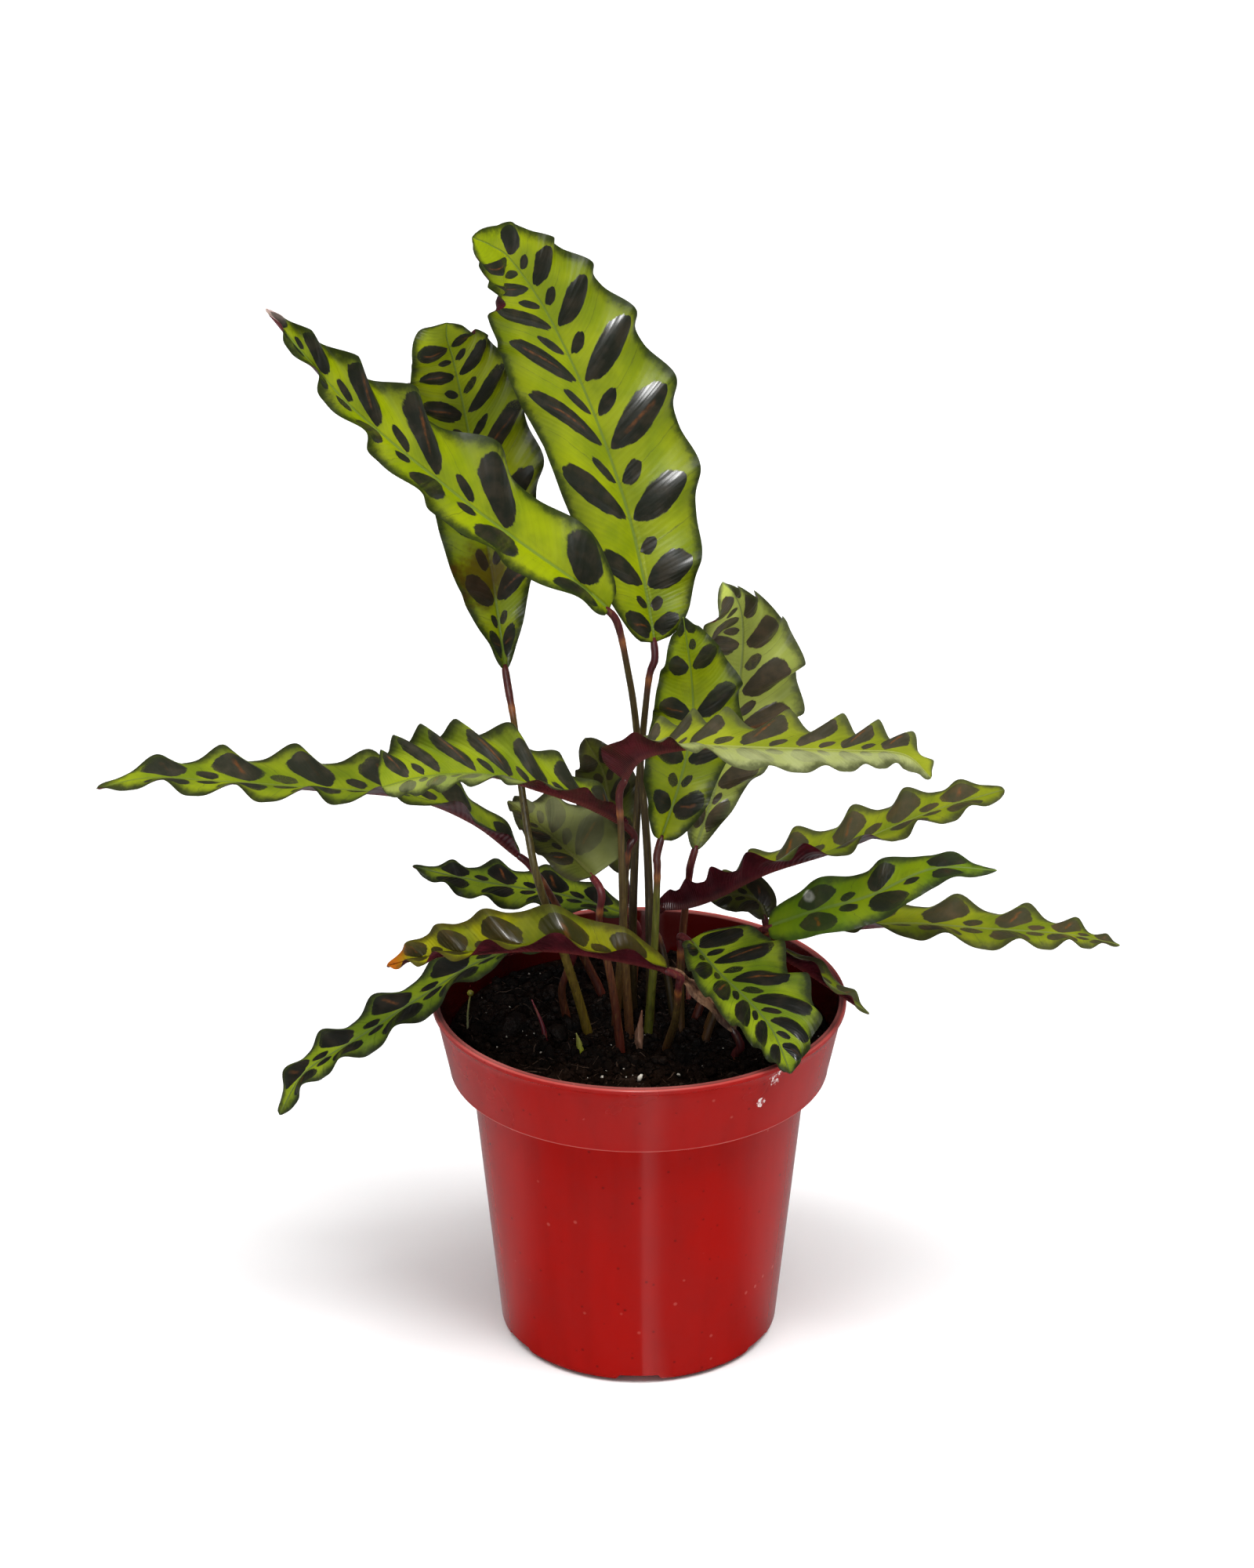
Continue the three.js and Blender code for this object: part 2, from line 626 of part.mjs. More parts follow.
// A point of a blade's middle surface. t runs from stalk to tip along the veins' feet, and v from
// -1 at the left margin over 0 at the midrib to 1 at the right margin. A vein runs outward and
// forward at a constant t, so the waves follow the veins.
function bladePoint(leaf, curve, t, v) {
  const out = Math.abs(v);
  const side = v < 0 ? 0 : 1;
  const slant = (leaf.slant ?? VEIN_SLANT)[side];
  const forward = ((slant * leaf.halves[side]) / curve.getLength()) * out * Math.sin(Math.PI * t);
  const u = Math.min(t + forward, 1);
  const tangent = curve.getTangentAt(u);
  const face = new THREE.Vector3(...[0, 1, 2].map((axis) => blend3(leaf.face.map((f) => f[axis]), u)));
  face.addScaledVector(tangent, -face.dot(tangent)).normalize();
  const right = new THREE.Vector3().crossVectors(tangent, face).multiplyScalar(v < 0 ? -1 : 1);
  const angle = THREE.MathUtils.degToRad(blend3(leaf.fold[side], u));
  const crest = (1 + Math.cos(2 * Math.PI * wavePhase(leaf, t))) / 2;
  const fade = (leaf.calm ?? FULL_WAVES)[side] * Math.sqrt(Math.max(Math.sin(Math.PI * t), 0));
  const swing = (2 * crest ** CREST_SHARPNESS - 1) * out ** MARGIN_RISE * fade;
  const trimmed = leaf.halves[side] * between((leaf.trim ?? EVEN_TRIM)[side], u);
  const widest = trimmed * (1 + (leaf.scallop ?? SCALLOP) * swing) - BLADE_END_HALF_WIDTH;
  const halfWidth = BLADE_END_HALF_WIDTH + widest * spear(leaf, u);
  const wave = leaf.lift * swing;
  const point = curve.getPointAt(u);
  point.addScaledVector(right, out * halfWidth * Math.cos(angle) - wave * Math.sin(angle));
  point.addScaledVector(face, out * halfWidth * Math.sin(angle) + wave * Math.cos(angle));
  return point;
}

// A blade: the same grid above and below its middle surface, closed along the margin.
function bladeGeometry(leaf) {
  const curve = smoothRoute(leaf.midrib);
  const places = rowPlaces(leaf);
  const rows = places.length - 1;
  const columns = 2 * COLUMNS_PER_HALF;
  const wide = columns + 1;
  const middle = [];
  for (const place of places) {
    for (let column = 0; column <= columns; column++) {
      middle.push(bladePoint(leaf, curve, place, column / COLUMNS_PER_HALF - 1));
    }
  }
  const cells = [];
  for (let row = 0; row < rows; row++) {
    for (let column = 0; column < columns; column++) {
      const a = row * wide + column;
      const slopesForward = column < COLUMNS_PER_HALF;
      if (slopesForward) cells.push([a, a + 1, a + wide], [a + 1, a + wide + 1, a + wide]);
      else cells.push([a, a + 1, a + wide + 1], [a, a + wide + 1, a + wide]);
    }
  }
  const normals = middle.map(() => new THREE.Vector3());
  for (const [a, b, c] of cells) {
    const ab = new THREE.Vector3().subVectors(middle[b], middle[a]);
    const ac = new THREE.Vector3().subVectors(middle[c], middle[a]);
    const facing = ab.cross(ac).normalize();
    for (const corner of [a, b, c]) normals[corner].add(facing);
  }
  const positions = [];
  for (const below of [false, true]) {
    middle.forEach((point, index) => {
      const isMidrib = index % wide === COLUMNS_PER_HALF;
      const keel = isMidrib ? MIDRIB_DEPTH * (1 - index / middle.length) : 0;
      const offset = below ? -BLADE_THICKNESS / 2 - keel : BLADE_THICKNESS / 2;
      positions.push(...point.clone().addScaledVector(normals[index].normalize(), offset).toArray());
    });
  }
  const under = middle.length;
  const triangles = cells.flatMap(([a, b, c]) => [a, b, c, a + under, c + under, b + under]);
  const border = [];
  for (let column = 0; column < columns; column++) border.push(column);
  for (let row = 0; row < rows; row++) border.push(row * wide + columns);
  for (let column = columns; column > 0; column--) border.push(rows * wide + column);
  for (let row = rows; row > 0; row--) border.push(row * wide);
  border.forEach((a, i) => {
    const b = border[(i + 1) % border.length];
    triangles.push(a, a + under, b + under, a, b + under, b);
  });
  return indexedGeometry(positions, triangles);
}

// A round rod along a route with a thickness that changes evenly, and flat ends.
function rodGeometry(route, radii, steps, extra = 0) {
  const curve = smoothRoute(route);
  const { normals, binormals } = curve.computeFrenetFrames(steps, false);
  const positions = [...curve.getPointAt(0).toArray()];
  for (let step = 0; step <= steps; step++) {
    const centre = curve.getPointAt(step / steps);
    const radius = radii[0] + ((radii[1] - radii[0]) * step) / steps + extra;
    for (let side = 0; side < STALK_SIDES; side++) {
      const angle = (side * 2 * Math.PI) / STALK_SIDES;
      const rim = centre.clone();
      rim.addScaledVector(normals[step], radius * Math.cos(angle));
      rim.addScaledVector(binormals[step], radius * Math.sin(angle));
      positions.push(...rim.toArray());
    }
  }
  positions.push(...curve.getPointAt(1).toArray());
  const last = positions.length / 3 - 1;
  const triangles = [];
  for (let side = 0; side < STALK_SIDES; side++) {
    const next = (side + 1) % STALK_SIDES;
    triangles.push(0, 1 + next, 1 + side);
    for (let step = 0; step < steps; step++) {
      const low = 1 + step * STALK_SIDES;
      const high = low + STALK_SIDES;
      triangles.push(low + side, low + next, high + next, low + side, high + next, high + side);
    }
    const top = 1 + steps * STALK_SIDES;
    triangles.push(top + side, top + next, last);
  }
  return indexedGeometry(positions, triangles);
}

// The stalk's route: straight down in the soil below. Above, the last stretch leans halfway from the
// stalk's own direction to the blade's, so that the joint bends smoothly into the midrib.
function stalkRoute(leaf) {
  const [[x, y], ...above] = leaf.stalk;
  const root = [[x, y, SOIL_LEVEL - STALK_DEPTH], [x, y, SOIL_LEVEL]];
  const base = new THREE.Vector3(...leaf.midrib[0]);
  const along = smoothRoute(leaf.midrib).getTangentAt(0);
  const rising = base.clone().sub(new THREE.Vector3(...(above.at(-1) ?? root[1]))).normalize();
  const lean = rising.add(along).normalize();
  const setback = GAP + STALK_TOP_RADIUS * Math.sin(lean.angleTo(along));
  const entry = base.clone().addScaledVector(lean, -STALK_STRAIGHT_END);
  const end = base.clone().addScaledVector(along, -setback);
  return [...root, ...above, entry.toArray(), end.toArray()];
}

function shootRoute(shoot) {
  const [[x, y], ...above] = shoot.route;
  return [[x, y, SOIL_LEVEL - SHOOT_DEPTH], ...above];
}

// The hole that a rod stands in: the rod a little fatter, and a little deeper.
function holeSolid(route, radii, steps) {
  const [x, y, z] = route[0];
  return solidOf(rodGeometry([[x, y, z - GAP], ...route.slice(1)], radii, steps, GAP));
}

const plant = new THREE.Group();
const leafGroup = new THREE.Group();
const shootGroup = new THREE.Group();
plant.add(leafGroup, shootGroup);

let soil = soilSolid();
for (const leaf of LEAVES) {
  const route = stalkRoute(leaf);
  const steps = leaf.stalk.length > 1 ? STALK_STEPS : SHOOT_STEPS;
  const rod = rodGeometry(route, STALK_RADII, steps);
  leafGroup.add(namedMesh(`${leaf.name}_blade`, bladeGeometry(leaf), leaf.dry ? "dry" : "leaf"));
  leafGroup.add(namedMesh(`${leaf.name}_stalk`, rod, leaf.dry ? "dry" : "stalk"));
  soil = soil.subtract(holeSolid(route, STALK_RADII, steps));
}
for (const shoot of SHOOTS) {
  const route = shootRoute(shoot);
  shootGroup.add(namedMesh(shoot.name, rodGeometry(route, shoot.radii, SHOOT_STEPS), shoot.colour));
  soil = soil.subtract(holeSolid(route, shoot.radii, SHOOT_STEPS));
}
plant.add(namedMesh("pot", geometryOf(potSolid()), "pot"));
plant.add(namedMesh("soil", geometryOf(soil), "soil"));

export default plant;
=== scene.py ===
import math
from dataclasses import dataclass
from itertools import combinations

import bpy
import numpy as np
from bpy.props import FloatProperty, FloatVectorProperty, IntProperty, PointerProperty
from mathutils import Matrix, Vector


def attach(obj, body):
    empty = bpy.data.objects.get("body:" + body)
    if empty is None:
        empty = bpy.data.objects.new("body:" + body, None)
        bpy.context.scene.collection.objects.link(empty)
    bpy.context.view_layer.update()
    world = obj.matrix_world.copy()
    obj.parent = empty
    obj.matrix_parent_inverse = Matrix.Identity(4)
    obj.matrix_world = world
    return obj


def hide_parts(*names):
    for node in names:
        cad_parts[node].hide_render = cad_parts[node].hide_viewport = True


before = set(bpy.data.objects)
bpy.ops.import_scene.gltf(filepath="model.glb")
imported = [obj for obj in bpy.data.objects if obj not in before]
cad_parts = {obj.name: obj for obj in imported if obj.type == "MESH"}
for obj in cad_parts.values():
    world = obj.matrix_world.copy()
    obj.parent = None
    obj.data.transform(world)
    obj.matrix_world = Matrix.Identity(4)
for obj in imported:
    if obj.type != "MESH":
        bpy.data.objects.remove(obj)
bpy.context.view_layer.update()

bl_info = {
    "name": "Potted rattlesnake plant",
    "version": (1, 0, 0),
    "blender": (4, 5, 0),
    "location": "View3D > Sidebar > Plant",
    "description": "Dresses a prayer plant in its nursery pot: pot, soil, leaves, stalks, shoots and stage",
    "category": "Object",
}

# Millimetres in the source, metres in the scene.
MM = 0.001

# Chords that a route's length is measured by.
CURVE_SAMPLES = 400

# Pot, in millimetres.
POT_HEIGHT = 123
RIM_RADIUS = 70
RIM_LIP = 1.2
LIP_HEIGHT = 2
COLLAR_BOTTOM_Z = 97
COLLAR_BOTTOM_RADIUS = 64.2
BODY_TOP_RADIUS = 57
BODY_BOTTOM_RADIUS = 47.4
BASE_CORNER = 3
POT_WALL = 1.4
FOOT_HEIGHT = 3.2
FOOT_WIDTH = 9
FOOT_LAND = 2
FLOOR_TOP = 5
FLOOR_CORNER = 2
CENTRE_FOOT_RADIUS = 15
EDGE_ROUNDING = 0.6
COLLAR_CORNER = 1
COLLAR_EDGE_ROUNDING = 0.9
LIP_STEP = 0.3
POT_SHARP_ANGLE = 50
FOOT_NOTCHES = 6
NOTCH_WIDTH_BELOW = 17
NOTCH_WIDTH_ABOVE = 13
NOTCH_HEIGHT = 2.8
NOTCH_OVERRUN = 3
DRAIN_HOLES = 6
DRAIN_RADIUS = 3.5
DRAIN_CIRCLE = 29
LEDGE_Z = COLLAR_BOTTOM_Z + POT_WALL
POT_SCRAPES = [((45, -53, 118), 4.5), ((47, -51, 121), 3.0), ((40, -54, 110), 3.0)]

# Soil, in millimetres, with ripples in radians per millimetre.
SOIL_LEVEL = 108
SOIL_CROWN = 2
RIPPLE_HEIGHT = 1.6
BROAD_RIPPLE = (0.21, 0.17)
BROAD_SHIFT = (1.3, -0.4)
FINE_RIPPLE = (0.43, -0.38)
FINE_SHARE = 0.6
GAP = 0.35
SOIL_SIDES = 240
SOIL_RINGS = 70

# What makes the soil's skin crumbly: height of the lumps, lattice points per millimetre, and seed.
SOIL_LUMPS = [(2.6, 0.16, 3), (1.8, 0.42, 5)]
SOIL_GRAINS = (0.9, 1.1, 7)

# Loose bits on the soil: lowest and highest of each random number, lengths in millimetres. An inset
# keeps them off the pot's wall. A lump's lift is how far its middle stands above the soil's skin,
# as a share of its size.
LOOSE_SEED = 11
SIZE_SPREAD = 0.45
STRETCH = (0.55, 1.3)
DENTS = (0.7, 1.15)
CRUMB_INSET = 2.5
CRUMB_LIFT = 0.25
PALE_BIT_SIZE = 0.27
PALE_BIT_INSET = 4
PALE_BIT_LIFT = 0.9
FIBRE_PLACES = 5
FIBRE_SIDES = 3
FIBRE_INSET = 3
FIBRE_LIFT = 0.35
FIBRE_LOWEST = -0.2
FIBRE_LENGTH = (3, 11)
FIBRE_BOW = (-0.35, 0.35)
FIBRE_TILT = (-0.12, 0.3)
FIBRE_RADIUS = (0.12, 0.3)

# What all blades share, in millimetres. A pair is for the base and the tip.
END_HALF_WIDTHS = (0.8, 0.12)
CREST_SHARPNESS = 1.4
MARGIN_RISE = 1.5
FLUTTER = 0.1
BULGE = 0.05
KEEL = (1.2, 0.2)
KEEL_WIDTH = 0.9
BLADE_SHARP_ANGLE = 80
SIDE_VEINS = 11

# Leaf marks, in shares of the blade's half-width and of the way between two veins.
LONG_MARK_START = 0.06
SHORT_MARK_START = 0.05
SHORT_MARK_END = 0.34
SHORT_MARK_SHARE = 0.9
BROWNED_SHARE = 0.32
MARK_SOFTNESS = 0.012
SIDE_KEY = 37

# Stalks and shoots, in millimetres. The ring lies where the joint below the blade starts.
STALK_RADII = (1.7, 1.0)
STALK_DEPTH = 16
STALK_STRAIGHT_END = 6
RING_SWELL = 0.16
RING_WIDTH = 1.2
TOP_CLOSING = 0.35
TOP_CLOSING_LENGTH = 2.5
STALK_IN_BLADE = 2
RING_TINT = (170, 104, 52)
RING_TINT_WIDTH = 1.6
RING_TINT_STRENGTH = 0.8
SHOOT_DEPTH = 6
SHOOT_STEPS = 40
SHOOT_SIDES = 18
SHEATH_FLATNESS = 0.6
# Depth of the sheath's folds as a share of its radius, their number round it, and their twist.
SHEATH_FOLDS = [(0.28, 3, 9), (0.16, 7, -21)]
SEEDLING_HEAD_RADIUS = 1.1

# Stage. Turns and angles are measured from the front towards the right: the floor's in radians, the
# lights' in degrees. Places and sizes are in metres, but the floor's heights and the camera's sensor
# in millimetres.
STAGE_MIDDLE = (0, 0, 0.2)
SUN_AZIMUTH = 48
SUN_ELEVATION = 66
SUN_DISTANCE = 2
RIGHT_SUN = 1.6
PANEL_PLACE = (-3, 13, 2.0)
PANEL_SIZE = (0.25, 0.5)
GLOSSY_SKY = 0.06
# The floor's glow in reflections, a painted reflection, by turn from the front: where the wedge rises and
# where it falls, the wedge's strength, where the sides pale, and the sides' strength.
WEDGE_LEFT = (0.02, 0.04)
WEDGE_RIGHT = (0.06, 0.3)
WEDGE_GLOW = 0.6
PALE_SIDES = (0.9, 1.6)
SIDE_GLOW = (0.03, 0.32)
FLOOR_RINGS = 12
FLOOR_SIDES = 96
FLOOR_Z = -0.5
FLOOR_BOTTOM = -40
CAMERA_TARGET = (-0.00402, 0, 0.2004)
SENSOR_HEIGHT = 36


def srgb(red, green, blue):
    """The linear colour of an sRGB one given from 0 to 255."""
    shown = np.array([red, green, blue]) / 255
    linear = np.where(shown <= 0.04045, shown / 12.92, ((shown + 0.055) / 1.055) ** 2.4)
    return tuple(float(value) for value in linear)


# Colours along a stalk, from the soil up to the joint below the blade, from 0 to 255.
STALK_TINTS = {
    "green": [(120, 128, 38), (108, 112, 34), (96, 40, 34)],
    "red": [(120, 34, 30), (104, 58, 34), (98, 28, 34)],
    "brown": [(118, 62, 40), (96, 78, 36), (92, 30, 34)],
    "yellow": [(142, 118, 32), (92, 80, 32), (88, 32, 30)],
    "dark": [(62, 50, 26), (78, 64, 28), (84, 26, 32)],
}

# How a blade's upper side is coloured: half-width of the long marks as a share of the way between
# two veins, and from 0 to 255 the ground's two greens, the marks' two darks, margin and midrib.
# The shade and deep looks are darker copies for leaves that sit in the plant's shade: painted shade.
BLADE_LOOKS = {
    "fresh": (0.245, (148, 161, 3), (124, 141, 3), (34, 37, 26), (52, 47, 34), (36, 46, 16), (110, 132, 48)),
    "pale": (0.27, (142, 150, 34), (122, 132, 28), (60, 57, 42), (74, 66, 50), (76, 80, 48), (150, 156, 84)),
    "grey": (0.34, (178, 190, 86), (156, 168, 70), (68, 62, 46), (84, 72, 54), (70, 74, 48), (134, 146, 82)),
    "shade": (0.3, (134, 148, 22), (106, 124, 20), (42, 44, 32), (60, 56, 42), (40, 44, 26), (110, 126, 50)),
    "bright": (0.26, (122, 142, 14), (98, 124, 14), (36, 40, 26), (54, 50, 34), (44, 54, 28), (110, 130, 60)),
    # Painted shade: a darker copy for the low leaves in the plant's shade.
    "deep": (0.33, (124, 140, 20), (88, 108, 18), (22, 23, 18), (36, 32, 24), (32, 36, 24), (84, 100, 48)),
    "dusty": (0.3, (132, 140, 22), (104, 118, 20), (62, 60, 38), (78, 66, 42), (62, 64, 36), (120, 130, 62)),
    "yellowing": (
        0.34, (140, 138, 6), (100, 108, 8), (50, 46, 15), (64, 52, 18), (66, 60, 18), (116, 112, 34),
    ),
    "olive": (0.28, (96, 100, 34), (72, 78, 28), (42, 40, 26), (56, 48, 32), (54, 52, 34), (98, 100, 50)),
}

# Patches on blades: place and radius in millimetres, colour from 0 to 255, and strength. The
# brown one on the tall left leaf is partly the leaf's own browning and partly a painted shadow
# where the diagonal leaf crosses it.
BLADE_STAINS_AND_PAINTED_SHADOW = {
    "fresh": [
        ((-52, 12, 270), 14, (70, 38, 8), 0.8), ((-113, -44, 376), 7, (206, 176, 172), 0.8),
    ],
    "bright": [
        ((54, -17, 159), 20, (78, 112, 14), 0.4), ((56.2, -11.4, 165.1), 2.6, (236, 236, 226), 1.0),
        ((56.2, -11.4, 165.1), 1.3, (16, 20, 12), 1.0),
    ],
    "yellowing": [
        ((-83, -30, 148), 12, (176, 92, 10), 0.85), ((-30, -34, 158), 20, (58, 70, 16), 0.4),
    ],
}
STREAK_TINT = srgb(128, 72, 26)
# Pale tint of the painted sheen on some halves.
PAINTED_SHEEN_TINT = srgb(160, 166, 112)


@dataclass
class Leaf:
    """One leaf, in millimetres and degrees. Pairs are for the halves left and right of the midrib.
    look and tint: the blade's and the stalk's colours. midrib: from the stalk to the tip. halves:
    widest half-width. face: where the upper side looks at the base, middle and tip. fold: how far
    each half lifts from flat there. veins: where along the midrib the main veins start; each ends in
    a crest of the margin. lift: height of the waves. belly: where along its length the blade is
    widest. stalk: from the soil to near the blade. slant: how far the veins lean forward. trim: how
    much wider or narrower each half is than its plain spear shape, at each quarter of the length.
    blunt: how blunt the base and tip are, 1 being pointed. calm: share of the waves that each
    half has. silver: how strong a pale painted sheen is on each half. scallop: how far the
    waves widen the margin. reach: share of the half-width that the long marks cover."""

    name: str
    look: str
    tint: str
    midrib: list
    halves: tuple
    face: list
    fold: list
    veins: tuple
    lift: float
    belly: float
    stalk: list
    slant: tuple = (0.7, 0.7)
    trim: tuple = ((1, 1, 1, 1, 1), (1, 1, 1, 1, 1))
    blunt: tuple = (0.5, 0.8)
    calm: tuple = (1, 1)
    silver: tuple = (0, 0)
    scallop: float = 0.08
    reach: float = 0.84


